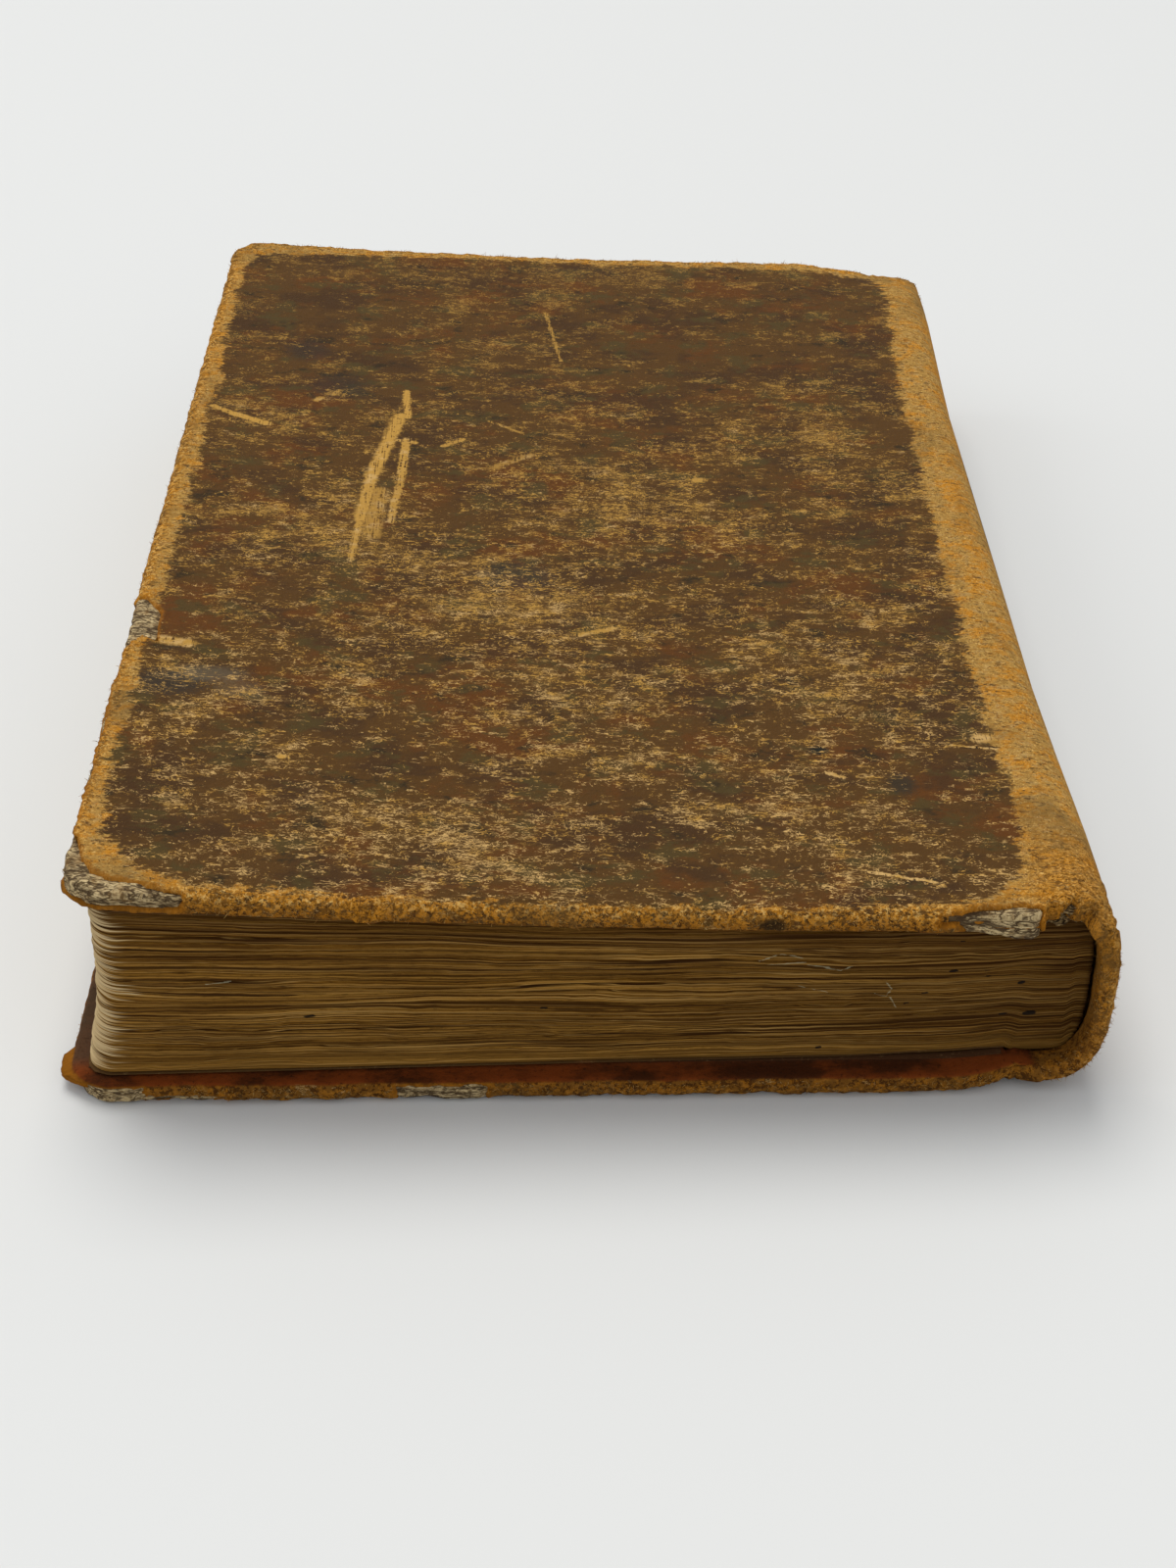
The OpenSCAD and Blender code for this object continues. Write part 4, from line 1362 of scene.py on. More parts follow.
@dataclass(frozen=True)
class TornLining:
    """Crumpled paper lining that shows where the hide is torn off the front joint's tail.

    Attributes:
        sizes: The book's sizes.
        left: Where the sheet starts in X.
        right: Where it ends in X.
        low: Its lower edge's height.
        high: Its upper edge's height.
        thick: Its thickness.
    """

    sizes: BookSizes
    left: float = 63.2
    right: float = 70.2
    low: float = 28.0
    high: float = 31.2
    thick: float = 0.35

    def build(self) -> bpy.types.Object:
        """Builds a closed sheet that stands on the leaves and is folded by sharp random creases.

        Returns:
            The piece.
        """
        u, v = np.meshgrid(np.linspace(0, 1, 90), np.linspace(0, 1, 48), indexing="ij")
        fall = 1.7 * ease((u - 0.55) / 0.45)
        x = self.left + (self.right - self.left) * u
        z = self.low + (self.high - self.low - fall) * v
        at = np.stack([x * 0.8 + z * 0.5, z * 1.1 - x * 0.35, 0 * x], -1)
        crease = 1 - np.abs(GRAIN.rough(at, 1.5, 2)) * 2.2
        fine = 1 - np.abs(GRAIN.rough(at, 0.6, 2)) * 2
        y = -self.sizes.half_h + 4.3 + 1.4 * v * (1 - v) - 1.0 * crease - 0.35 * fine
        z = z + 0.4 * GRAIN.rough(at, 1.1, 2)
        front = np.stack([x, y, z], -1)
        back = front + np.array([0.0, self.thick, 0.0])
        rows, cols = x.shape
        verts = np.concatenate([front.reshape(-1, 3), back.reshape(-1, 3)])
        n = rows * cols
        border = np.concatenate([np.arange(cols), cols * np.arange(1, rows) + cols - 1,
                                 n - 2 - np.arange(cols - 1), cols * np.arange(rows - 2, 0, -1)])
        after = np.roll(border, -1)
        rim = np.stack([border, border + n, after + n, after], -1)
        faces = np.concatenate([grid_faces(rows, cols), grid_faces(rows, cols, flip=True, start=n), rim])
        # push marks the hollows of the folds, which the finish darkens as painted shade.
        fields = {"hide": verts, "push": np.tile((crease * 0.4 + 0.15).ravel(), 2)}
        return new_piece("torn_lining", verts, faces.tolist(), fields)


# Finishes


@dataclass(frozen=True)
class FuzzFinish:
    """Loose suede fibres, from rusty to straw."""

    rust: Colour = (0.22, 0.085, 0.014)
    straw: Colour = (0.50, 0.30, 0.09)

    def material(self) -> bpy.types.Material:
        """Builds the material, with one tone for each fibre."""
        p = Paint("suede_fibres")
        tone = p.field("tone")
        return p.finish(p.mix(tone, self.rust, self.straw), 0.95, [], {"Specular IOR Level": 0.1})


@dataclass(frozen=True)
class HideFinish:
    """Old brown sheepskin: dark mottled grain, pale crackle, and golden suede where it is rubbed off."""

    brown: Colour = (0.096, 0.045, 0.0115)
    red: Colour = (0.122, 0.043, 0.0090)
    purple: Colour = (0.062, 0.030, 0.0115)
    olive: Colour = (0.080, 0.054, 0.0165)
    black: Colour = (0.036, 0.024, 0.0105)
    dusty: Colour = (0.190, 0.103, 0.030)
    crackle: Colour = (0.62, 0.385, 0.140)
    rubbed: Colour = (0.52, 0.285, 0.060)
    ochre: Colour = (0.42, 0.235, 0.057)
    orange: Colour = (0.53, 0.212, 0.015)
    tan: Colour = (0.43, 0.270, 0.100)
    rust: Colour = (0.36, 0.128, 0.008)
    umber: Colour = (0.17, 0.072, 0.012)
    soot_and_shade: Colour = (0.040, 0.014, 0.004)
    fluff: Colour = (0.78, 0.48, 0.145)

    def material(self) -> bpy.types.Material:
        """Builds the material from the shells' stored fields."""
        p = Paint("worn_sheepskin")
        at = p.field("hide", "Vector")
        jitter = p.node("ShaderNodeTexNoise", None, {"Vector": at, "Scale": 1.1, "Detail": 4.0}, "Color")
        bent = p.stretch(jitter, (1.5, 0.8, 0.4), at)
        bent = p.stretch(bent, (1.0, 1.0, 1.0), (-0.75, -0.4, -0.2))
        fibre = p.noise(at, (2.4, 2.4, 2.4), 6, 0.75, warp=0.7)
        speck = p.noise(at, (1.5, 1.9, 1.5), 5, 0.7)
        rub = self.rubbing(p, at)
        pale = self.crackle_lines(p, at, bent, rub)
        grain = self.grain(p, at, speck, rub, pale)
        suede, wall = self.suede(p, at, bent, fibre, speck)
        kept = self.kept(p, at, fibre, speck)
        colour = p.mix(kept, suede, grain)
        colour = p.mix(wall, colour, self.turned_in(p, at, speck))
        fringe = (p.field("worn") + (fibre - 0.5) * 1.6).step(-0.9, -0.15)
        colour = p.mix(fringe * (1 - wall) * 0.6, colour, self.rust)
        rough = kept * -0.32 + 0.96 + pale * kept * 0.2 + (speck - 0.5) * 0.2
        return p.finish(colour, rough, [(fibre * 0.6 + speck, 0.85, 0.40)], {"Specular IOR Level": 0.05})

    def rubbing(self, p: Paint, at: Val) -> Val:
        """How rubbed the grain is, about -1 to 1: clouds that lie across the cover and the listed places."""
        broad = p.noise(at, (0.026, 0.042, 0.04), 4, 0.6, (2, 1, 0))
        local = p.noise(at, (0.095, 0.14, 0.1), 5, 0.68, (9, 2, 0))
        rub = (broad - 0.5) * 3.2 + (local - 0.5) * 5.6 - 0.80
        for x, y, wide, high, share in RUBBED:
            gap = p.spot(at, (x, y, 0.0), (1 / wide, 1 / high, 0.0))
            rub = rub + (gap + (local - 0.5) * 1.8).step(1.25, 0.15) * share
        return rub

    def crackle_lines(self, p: Paint, at: Val, bent: Val, rub: Val) -> Val:
        """Pale marks: curled hair lines along the level lines of noise, rubbed islands and scratches."""
        pale = None
        for size, shift, width, share in CRACKLE:
            drawn = p.noise(bent, (*size, 1.0), 2, 0.5, shift)
            broken = p.noise(at, (size[0] * 0.6, size[1] * 0.45, 1.0), 4, 0.65, shift)
            line = drawn.ridge(width, width * 0.2) * (broken + rub * 0.085).step(0.48, 0.54) * share
            pale = line if pale is None else pale.larger(line)
        islands = p.noise(bent, (0.24, 0.42, 1.0), 5, 0.76, (5, 5, 0))
        pale = pale.larger((islands + rub * 0.085).step(0.640, 0.69) * 0.85)
        crumbs = p.noise(bent, (0.80, 1.5, 1.0), 4, 0.72, (3, 1, 0))
        pale = pale.larger((crumbs + rub * 0.07).step(0.655, 0.70) * 0.95)
        pale = pale * (1 - p.part(at, "Y").step(0.0, 95.0) * 0.38)
        streak = p.noise(at, (2.8, 0.16, 1.0), 3, 0.6)
        for start, end, width, share in SCRATCHES:
            gap = p.near_line(bent, start, end) + (crumbs - 0.5) * width
            whole = (streak + (crumbs - 0.5) * 0.9 + 0.14 * share).step(0.48, 0.58)
            pale = pale.larger(gap.step(width, width * 0.45) * whole * share)
        return pale

    def grain(self, p: Paint, at: Val, speck: Val, rub: Val, pale: Val) -> Val:
        """The dark grain: brown with red, purple, olive and black clouds, dust, stains and the pale marks."""
        colour = self.brown
        for size, shift, low, high, share, tint in (
            ((0.045, 0.06), (1, 1, 0), 0.50, 0.62, 0.9, self.red),
            ((0.05, 0.08), (6, 1, 0), 0.48, 0.60, 0.8, self.purple),
            ((0.10, 0.15), (2, 9, 0), 0.52, 0.64, 0.8, self.olive),
            ((0.12, 0.20), (7, 4, 0), 0.56, 0.68, 0.85, self.black),
        ):
            cloud = p.noise(at, (*size, 0.1), 4, 0.7, shift)
            colour = p.mix(cloud.step(low, high) * share, colour, tint)
        colour = p.mix(speck.step(0.55, 0.70) * 0.45, colour, self.black)
        colour = p.mix(rub.step(-0.8, 1.5) * 0.40, colour, self.dusty)
        for x, y, wide, high, share, tint in STAINS:
            gap = p.spot(at, (x, y, 0.0), (1 / wide, 1 / high, 0.0))
            colour = p.mix((gap + (speck - 0.5) * 1.6).step(1.2, 0.4) * share, colour, tint)
        tone = p.noise(at, (0.3, 0.4, 0.3), 4, 0.6, (4, 4, 0))
        mark = p.mix((tone - p.part(at, "Y") * 0.0012).step(0.48, 0.68), self.rubbed, self.crackle)
        return p.mix(pale, colour, mark)

    def suede(self, p: Paint, at: Val, bent: Val, fibre: Val, speck: Val) -> tuple[Val, Val]:
        """The fuzzy underlayer, golden on the flat and rusty on the walls, and where the turn-in begins, with
        painted shade that deepens down each wall to its foot.
        """
        depth = p.part(at, "Z")
        blotch = p.noise(at, (0.20, 0.26, 0.3), 5, 0.65, (3, 3, 3))
        patch = p.noise(at, (0.5, 0.7, 0.6), 5, 0.65, (8, 0, 2))
        colour = p.mix(blotch.step(0.46, 0.60) * 0.9, self.ochre, self.orange)
        colour = p.mix(patch.step(0.50, 0.64) * 0.7, colour, self.tan)
        rim = (p.field("edge") + (blotch - 0.5) * 6.0).step(3.0, 0.4)
        colour = p.mix(rim * 0.80, colour, self.orange)
        # Down the wall the suede turns rust: partly its own colour, partly painted shade.
        colour = p.mix((depth + (patch - 0.5) * 3.0).step(1.0, 3.0) * 0.6, colour, self.rust)
        split = p.noise(bent, (0.22, 0.34, 0.30), 3, 0.6, (6, 2, 5))
        crack = split.ridge(0.022, 0.004) * (patch + rim * 0.10).step(0.53, 0.62)
        seam = p.noise(bent, (0.30, 0.50, 0.30), 3, 0.6, (1, 9, 2))
        colour = p.mix(seam.ridge(0.020, 0.004) * patch.step(0.42, 0.55) * 0.8, colour, self.rust)
        pits = (speck + rim * 0.06).step(0.575, 0.635) * 0.95
        colour = p.mix(patch.step(0.47, 0.36) * (rim * 0.55 + 0.35), colour, self.umber)
        dark = (crack * 0.85).larger(fibre.step(0.56, 0.70) * (rim * 0.35 + 0.4)).larger(pits)
        colour = p.mix(dark, colour, self.soot_and_shade)
        grit = p.noise(at, (1.05, 1.25, 1.1), 4, 0.72, (2, 6, 3))
        colour = p.mix(grit.step(0.51, 0.58) * (rim * 0.65 + 0.25), colour, self.umber)
        high = 1 - depth.step(0.4, 1.8) * 0.85
        colour = p.mix(grit.step(0.47, 0.38) * (rim * 0.7 + 0.15) * high, colour, self.fluff)
        # Painted shade at the foot of the wall.
        foot = (depth + (patch - 0.5) * 2.5).step(1.9, 3.3)
        colour = p.mix(foot * 0.30, colour, self.soot_and_shade)
        crumb = (p.part(at, "Y") * -1).step(84.0, 104.0) * (p.part(at, "X") - 7.0).away().step(14.0, 5.0)
        knot = (p.part(at, "X") + 95.2).away().step(4.5, 1.5) * (p.part(at, "Y") * -1).step(107.5, 109.5)
        crumb = crumb.larger(knot)
        colour = p.mix(crumb * 0.55, colour, self.orange)
        colour = p.mix(crumb * grit.step(0.50, 0.57) * 0.75, colour, self.umber)
        colour = p.mix(crumb * fibre.step(0.51, 0.60) * 0.85, colour, self.soot_and_shade)
        burn = p.spot(at, (-39.2, -110.5, 2.4), (0.42, 0.5, 0.75))
        colour = p.mix((burn + (speck - 0.5) * 1.5).step(1.15, 0.55) * 0.92, colour, (0.022, 0.013, 0.006))
        colour = p.mix(fibre.step(0.47, 0.35) * 0.75 * high, colour, self.fluff)
        grime = p.noise(at, (0.07, 0.05, 0.1), 4, 0.65, (3, 8, 1))
        colour = p.mix(grime.step(0.48, 0.68) * 0.55, colour, (0.145, 0.085, 0.027))
        behind = p.part(at, "X").step(20.0, 36.0)
        colour = p.mix(behind * 0.40, colour, self.rust)
        colour = p.mix(behind * (patch.step(0.44, 0.56) * 0.70 + 0.10), colour, self.umber)
        colour = p.mix(behind * grit.step(0.50, 0.57) * 0.75, colour, self.soot_and_shade)
        corner = p.part(at, "X").step(166.0, 174.0) * (p.part(at, "Y") * -1).step(88.0, 98.0)
        colour = p.mix(corner * 0.5, colour, self.soot_and_shade)
        return colour, depth.step(3.25, 3.6)

    def kept(self, p: Paint, at: Val, fibre: Val, speck: Val) -> Val:
        """Where the dark grain is left, with a ragged border that trails off in flakes."""
        wander = p.noise(at, (0.16, 0.20, 0.3), 3)
        torn = p.noise(at, (0.45, 1.25, 0.5), 5, 0.65, (1, 2, 0))
        border = p.field("panel") + (wander - 0.5) * 5.0 + (torn - 0.5) * 7.0 + (fibre - 0.5) * 1.4
        flakes = (border + 2.6).step(-1.6, 1.8) * speck.step(0.56, 0.62) * 0.85
        far = (border + 7.0).step(-4.0, 3.0) * (torn + (speck - 0.5) * 0.5).step(0.55, 0.62) * 0.7
        return border.step(-0.5, 0.5).larger(flakes).larger(far)

    def turned_in(self, p: Paint, at: Val, speck: Val) -> Val:
        """The turned-in hide on a board's inner face, red-brown and dark."""
        cloud = p.noise(at, (0.09, 0.14, 0.1), 5, 0.65, (5, 0, 3))
        colour = p.mix(cloud.step(0.38, 0.60), (0.200, 0.044, 0.008), (0.060, 0.017, 0.005))
        fore = (p.part(at, "Y").away() - 104.0).step(4.0, 0.0)
        colour = p.mix(fore * 0.85, colour, (0.075, 0.046, 0.026))
        return p.mix(speck.step(0.54, 0.70) * 0.7, colour, (0.022, 0.009, 0.004))


# Hair lines: how drawn out across and along the cover, shift, half width, strength
CRACKLE = (
    ((0.32, 1.05), (0.0, 0.0, 0.0), 0.024, 1.0), ((0.60, 1.60), (4.0, 8.0, 0.0), 0.030, 0.95),
    ((0.90, 1.20), (7.0, 3.0, 0.0), 0.028, 0.90), ((0.26, 1.40), (2.0, 5.0, 0.0), 0.024, 0.85),
    ((0.50, 0.70), (3.0, 7.0, 0.0), 0.018, 1.0),
)

# Places that are rubbed more (or less): flat X and Y of the middle, half width, half height, strength
RUBBED = (
    (-53.0, 6.0, 22.0, 22.0, 0.65), (-83.0, -26.0, 30.0, 20.0, 0.55), (-70.0, -56.0, 34.0, 16.0, 0.5),
    (-20.0, -54.0, 20.0, 14.0, 0.4), (-19.5, 22.0, 7.0, 34.0, 0.55), (-86.0, -94.0, 26.0, 11.0, 0.6),
    (-36.0, -94.0, 24.0, 9.0, 0.12), (-68.0, 102.0, 34.0, 7.0, 0.6), (-31.0, 70.0, 34.0, 30.0, -0.7),
    (-114.0, 66.0, 26.0, 32.0, -0.45), (-9.0, -84.0, 10.0, 14.0, -0.6), (-120.0, -92.0, 16.0, 14.0, -0.15),
    (-31.0, -24.0, 18.0, 16.0, -0.35), (-104.0, -2.0, 12.0, 16.0, 0.5), (-112.0, -64.0, 22.0, 16.0, 0.25),
    (-104.0, -91.0, 18.0, 10.0, 0.35),
)

# Scratches and rubbed spots on the front cover: start and end in flat X and Y, half width, strength
SCRATCHES = (
    ((-97.2, 46.2), (-96.4, 35.2), 0.9, 1.0), ((-97.8, 35.4), (-101.6, 11.7), 1.7, 1.0),
    ((-101.6, 11.7), (-102.7, -4.2), 1.5, 0.95), ((-102.7, -4.2), (-103.3, -18.1), 0.8, 0.85),
    ((-96.2, 26.0), (-96.4, 12.2), 1.1, 0.95), ((-96.4, 12.2), (-97.4, -4.6), 0.9, 0.85),
    ((-97.8, 25.8), (-94.5, 25.0), 0.7, 0.9), ((-100.0, 6.0), (-100.4, -9.5), 2.2, 0.7),
    ((-132.4, 35.7), (-127.9, 32.7), 0.9, 0.9), ((-128.6, 33.2), (-121.8, 29.9), 1.1, 1.0),
    ((-89.3, 24.3), (-85.8, 27.3), 0.7, 0.85), ((-81.2, 34.9), (-75.1, 30.6), 0.5, 0.7),
    ((-79.8, 17.0), (-73.1, 22.1), 1.0, 0.6), ((-70.8, 82.9), (-67.8, 62.3), 0.5, 0.7),
    ((-65.2, -39.9), (-59.5, -37.5), 0.8, 0.85), ((-9.3, -69.9), (1.0, -71.6), 0.35, 0.9),
    ((-25.1, -101.6), (-16.1, -103.8), 0.4, 1.0), ((-109.6, -77.0), (-108.6, -77.1), 0.8, 1.0),
    ((-4.9, -68.2), (2.0, -67.6), 1.6, 0.9), ((-131.5, -46.5), (-126.6, -47.2), 1.6, 0.9),
    ((-113.7, 40.6), (-113.2, 41.6), 0.9, 0.8), ((-110.8, 43.3), (-110.0, 45.0), 0.8, 0.7),
    ((-43.6, 13.9), (-42.6, 13.9), 1.2, 0.85), ((-29.0, -77.2), (-26.5, -78.6), 0.5, 0.9),
)

# Stains: flat X and Y of the middle, half width, half height, strength, colour
STAINS = (
    (-128.0, -58.4, 6.5, 4.6, 0.75, (0.036, 0.031, 0.024)),
    (-122.5, -55.6, 6.5, 2.6, 0.45, (0.16, 0.130, 0.082)),
    (-117.5, -59.5, 4.5, 3.0, 0.3, (0.16, 0.125, 0.075)),
    (-29.5, -71.6, 2.0, 1.4, 0.95, (0.014, 0.015, 0.011)),
    (-18.0, -80.0, 2.6, 3.4, 0.7, (0.030, 0.028, 0.020)),
    (-4.2, -70.6, 4.6, 0.35, 0.9, (0.018, 0.010, 0.006)),
    (-110.0, 47.0, 7.0, 6.0, 0.55, (0.028, 0.024, 0.020)),
    (-76.0, -22.0, 8.0, 6.0, 0.55, (0.036, 0.034, 0.026)),
    (-117.0, 62.0, 5.0, 5.0, 0.55, (0.025, 0.024, 0.022)),
)


@dataclass(frozen=True)
class BoardFinish:
    """Grey-tan pasteboard of pressed paper, frayed into layers."""

    pale: Colour = (0.60, 0.455, 0.235)
    mid: Colour = (0.270, 0.175, 0.072)
    dark: Colour = (0.055, 0.030, 0.012)

    def material(self, name: str = "frayed_pasteboard") -> bpy.types.Material:
        """Builds the material.

        Args:
            name: The material's name.

        Returns:
            The material.
        """
        p = Paint(name)
        at = p.field("hide", "Vector")
        push = p.field("push")
        layers = p.noise(at, (0.16, 0.20, 2.4), 5, 0.7, warp=0.4)
        fibre = p.noise(at, (1.2, 2.6, 2.6), 6, 0.75, warp=0.8)
        blotch = p.noise(at, (0.4, 0.4, 0.4), 4, 0.6)
        strands = p.noise(at, (0.22, 0.85, 1.3), 3, 0.6, (1, 1, 4), 0.5)
        colour = p.mix(fibre.step(0.35, 0.62), self.mid, self.pale)
        colour = p.mix(strands.ridge(0.058, 0.012) * 0.92, colour, self.dark)
        slits = p.noise(at, (0.40, 1.5, 2.2), 3, 0.6, (7, 2, 1), 0.4)
        colour = p.mix(slits.ridge(0.050, 0.010) * 0.85, colour, self.dark)
        colour = p.mix(layers.step(0.53, 0.64) * 0.85, colour, self.dark)
        colour = p.mix(blotch.step(0.52, 0.70) * 0.4, colour, (0.26, 0.135, 0.035))
        # Painted shade: where the board rises least, deep in a worn place or in a hollow of the lining's
        # folds, it is darkened.
        colour = p.mix(push.step(0.30, 0.05) * 0.8, colour, self.dark)
        return p.finish(colour, 0.95, [(layers, 0.6, 0.35), (fibre, 0.6, 0.3)], {"Specular IOR Level": 0.2})


@dataclass(frozen=True)
class LeafFinish:
    """The browned and dusty edges of the leaves.

    Attributes:
        light: The palest leaves, and the painted light on the lowest levels.
        brown: Most leaves.
        dark: The grooves' painted shade, the painted shade on the top levels under the front cover, and the
            old dirt.
        dust: The dust at the fore-edge.
        drawn: Share by which marks on the tail are flatter than they are wide.
    """

    light: Colour = (0.33, 0.165, 0.030)
    brown: Colour = (0.170, 0.074, 0.0085)
    dark: Colour = (0.040, 0.014, 0.002)
    dust: Colour = (0.62, 0.46, 0.24)
    drawn: float = 1.8

    def material(self) -> bpy.types.Material:
        """Builds the material: streaks along the leaves, grooves and top levels in painted shade, lowest
        levels in painted light, dust, ink specks and lint.
        """
        p = Paint("browned_leaf_edges")
        at = p.field("leaf", "Vector")
        proud, level = p.field("proud"), p.field("level")
        run = p.part(at, "X")
        sway = p.noise(at, (0.045, 0.09, 1.0), 3, 0.6, (4, 4, 0))
        lined = p.stretch(sway, (0.0, 1.3, 0.0), at)
        streak = p.noise(lined, (0.006, 3.5, 1.0), 2, 0.6)
        thin = p.noise(lined, (0.010, 5.6, 1.0), 2, 0.6, (3, 3, 0))
        grit = p.noise(at, (0.40, 5.5, 1.0), 4, 0.75, (6, 2, 0))
        cloud = p.noise(at, (0.03, 0.16, 1.0), 4, 0.6, (1, 5, 0))
        colour = p.mix(streak.step(0.34, 0.68), self.brown, self.light)
        colour = p.mix(thin.step(0.50, 0.62) * 0.55, colour, self.dark)
        colour = p.mix(grit.step(0.52, 0.62) * 0.5, colour, self.dark)
        colour = p.mix(grit.step(0.46, 0.36) * 0.4, colour, self.light)
        for scale, shift, width, share, tint in LEAF_LINES:
            line = p.noise(lined, (*scale, 1.0), 1, 0.5, shift)
            colour = p.mix(line.ridge(width, width * 0.25) * share, colour, tint)
        # Painted shade in the grooves: the deeper a leaf lies, the darker it is painted.
        colour = p.mix(proud.step(-0.22, -0.55) * 0.8, colour, self.dark)
        colour = p.mix(cloud.step(0.45, 0.72) * 0.4, colour, self.dark)
        to_spine = run.step(70.0, 8.0) * run.step(-10.0, 0.0)
        colour = p.mix(to_spine * 0.42, colour, self.dark)
        # Painted light: the lowest levels are lightened, as if lit from the floor.
        colour = p.mix(level.step(0.16, 0.02) * 0.30, colour, self.light)
        # Painted shade: the top levels, under the overhanging front cover, are darkened.
        colour = p.mix(level.step(0.78, 0.90) * 0.50, colour, self.dark)
        split = (level + (cloud - 0.5) * 0.02 - 0.879).away().step(0.0075, 0.002)
        colour = p.mix(split * run.step(20.0, 60.0) * 0.8, colour, self.dark)
        fore = run.step(133.0, 143.0) * run.step(355.0, 345.0)
        dusty = (fore + (streak - 0.5) * 2.6 + (thin - 0.5) * 1.8).step(0.50, 0.95) * fore.step(0.0, 0.15)
        colour = p.mix(dusty * 0.8, colour, self.dust)
        place = p.in_mm()
        face = p.node("ShaderNodeCombineXYZ", None,
                      {0: p.part(place, "X"), 1: p.part(place, "Z") * self.drawn, 2: 0.0})
        at_tail = p.part(place, "Y").step(-90.0, -100.0)
        for x, z, size in INK_SPECKS:
            z = z * self.drawn
            gap = p.near_line(face, (x - size * 0.5, z), (x + size * 0.5, z + 0.15))
            mark = (gap + (thin - 0.5) * size * 0.6).step(size * 0.78, size * 0.5) * at_tail
            colour = p.mix(mark * 0.95, colour, (0.008, 0.006, 0.005))
        for start, end, width in LINT:
            gap = p.near_line(face, (start[0], start[1] * self.drawn), (end[0], end[1] * self.drawn))
            mark = (gap + (grit - 0.5) * 0.9).step(width * 0.7, width * 0.15) * at_tail
            colour = p.mix(mark * 0.6, colour, (0.40, 0.36, 0.22))
        return p.finish(colour, 0.93, [(streak, 0.7, 0.22), (thin, 0.5, 0.12)], {"Specular IOR Level": 0.06})


# Lines between leaves: how drawn out along and across them, shift, half width, strength, colour
LEAF_LINES = (
    ((0.006, 2.7), (1.0, 2.0, 0.0), 0.045, 0.65, (0.52, 0.30, 0.085)),
    ((0.004, 1.1), (5.0, 1.0, 0.0), 0.019, 0.95, (0.022, 0.007, 0.0012)),
    ((0.006, 1.9), (8.0, 4.0, 0.0), 0.036, 0.80, (0.034, 0.011, 0.0015)),
    ((0.008, 3.1), (2.0, 7.0, 0.0), 0.055, 0.60, (0.045, 0.016, 0.002)),
)

# Lint on the tail of the leaves: start and end in X and Z, half width
LINT = (
    ((24.5, 22.2), (27.6, 23.4), 0.20), ((27.6, 23.4), (30.6, 22.5), 0.22),
    ((25.6, 21.6), (31.0, 21.8), 0.18), ((31.4, 21.4), (36.0, 20.3), 0.26),
    ((36.0, 20.3), (38.0, 21.0), 0.16), ((30.2, 17.6), (34.4, 16.2), 0.14),
    ((42.6, 17.9), (43.5, 16.6), 0.18), ((43.5, 16.6), (42.9, 15.4), 0.18),
    ((41.2, 15.6), (43.4, 15.0), 0.14), ((43.4, 15.0), (44.3, 13.2), 0.14),
    ((-53.0, 20.6), (-49.5, 20.9), 0.14),
)

# Ink specks on the tail of the leaves: X, Z and width
INK_SPECKS = ((-39.0, 14.2, 0.75), (-5.9, 14.6, 0.5), (52.0, 19.7, 0.6), (56.8, 19.5, 0.4), (57.2, 18.5, 0.4),
              (61.9, 17.2, 0.5), (59.8, 11.4, 0.6), (63.6, 11.4, 0.9), (33.6, 5.9, 0.4), (53.0, 24.9, 0.35),
              (48.3, 15.6, 0.45), (45.7, 13.8, 0.4))


@dataclass(frozen=True)
class PaperFinish:
    """Browned endpaper, darker along its edges where the turned-in hide has stained it."""

    pale: Colour = (0.52, 0.40, 0.23)
    brown: Colour = (0.33, 0.20, 0.085)

    def material(self, name: str, stain: float, rim_tint: Colour) -> bpy.types.Material:
        """Builds the material.

        Args:
            name: The material's name.
            stain: How dark the stained border is.
            rim_tint: Colour of the outermost rim.

        Returns:
            The material.
        """
        p = Paint(name)
        at = p.in_mm()
        x, y = p.part(at, "X"), p.part(at, "Y")
        mottle = p.noise(at, (0.022, 0.022, 0.1), 7, 0.6)
        fibre = p.noise(at, (1.4, 1.4, 1.4), 5, 0.7)
        laid = p.noise(at, (0.01, 1.1, 0.01), 1)
        fox = p.cells(p.stretch(at, (0.06, 0.06, 0.0)))
        border = (y.away() - 92.0).larger((x * -1) - 55.0) + (mottle - 0.5) * 16
        colour = p.mix(mottle.step(0.30, 0.85) * 0.6, self.pale, self.brown)
        colour = p.mix(border.step(0.0, 7.0) * stain, colour, (0.15, 0.072, 0.026))
        rim = (y.away() - 103.4).larger((x * -1) - 67.0)
        colour = p.mix(rim.step(0.0, 2.5) * 0.92, colour, rim_tint)
        colour = p.mix(fox.step(0.16, 0.03) * mottle.step(0.46, 0.6) * 0.7, colour, (0.25, 0.10, 0.03))
        colour = p.mix(fibre.step(0.55, 0.72) * 0.3, colour, self.brown)
        return p.finish(colour, 0.9, [(fibre, 0.35, 0.08), (laid, 0.2, 0.05)], {"Specular IOR Level": 0.08})


@dataclass(frozen=True)
class CordFinish:
    """Twisted hemp cord, grey-brown with glue and age."""

    pale: Colour = (0.50, 0.39, 0.22)
    dark: Colour = (0.20, 0.13, 0.06)

    def material(self) -> bpy.types.Material:
        """Builds the material: slanted strands with fine fibres."""
        p = Paint("hemp_cord")
        at = p.in_mm()
        twist = p.node("ShaderNodeTexWave", {"bands_direction": "DIAGONAL"},
                       {"Vector": at, "Scale": 0.55, "Distortion": 1.5, "Detail": 2.0}, "Fac")
        fibre = p.noise(at, (3.0, 3.0, 3.0), 5, 0.7)
        colour = p.mix(twist.step(0.2, 0.8), self.dark, self.pale)
        colour = p.mix(fibre.step(0.55, 0.75) * 0.6, colour, self.dark)
        return p.finish(colour, 0.95, [(twist, 0.8, 0.3), (fibre, 0.5, 0.1)], {"Specular IOR Level": 0.2})


# The studio


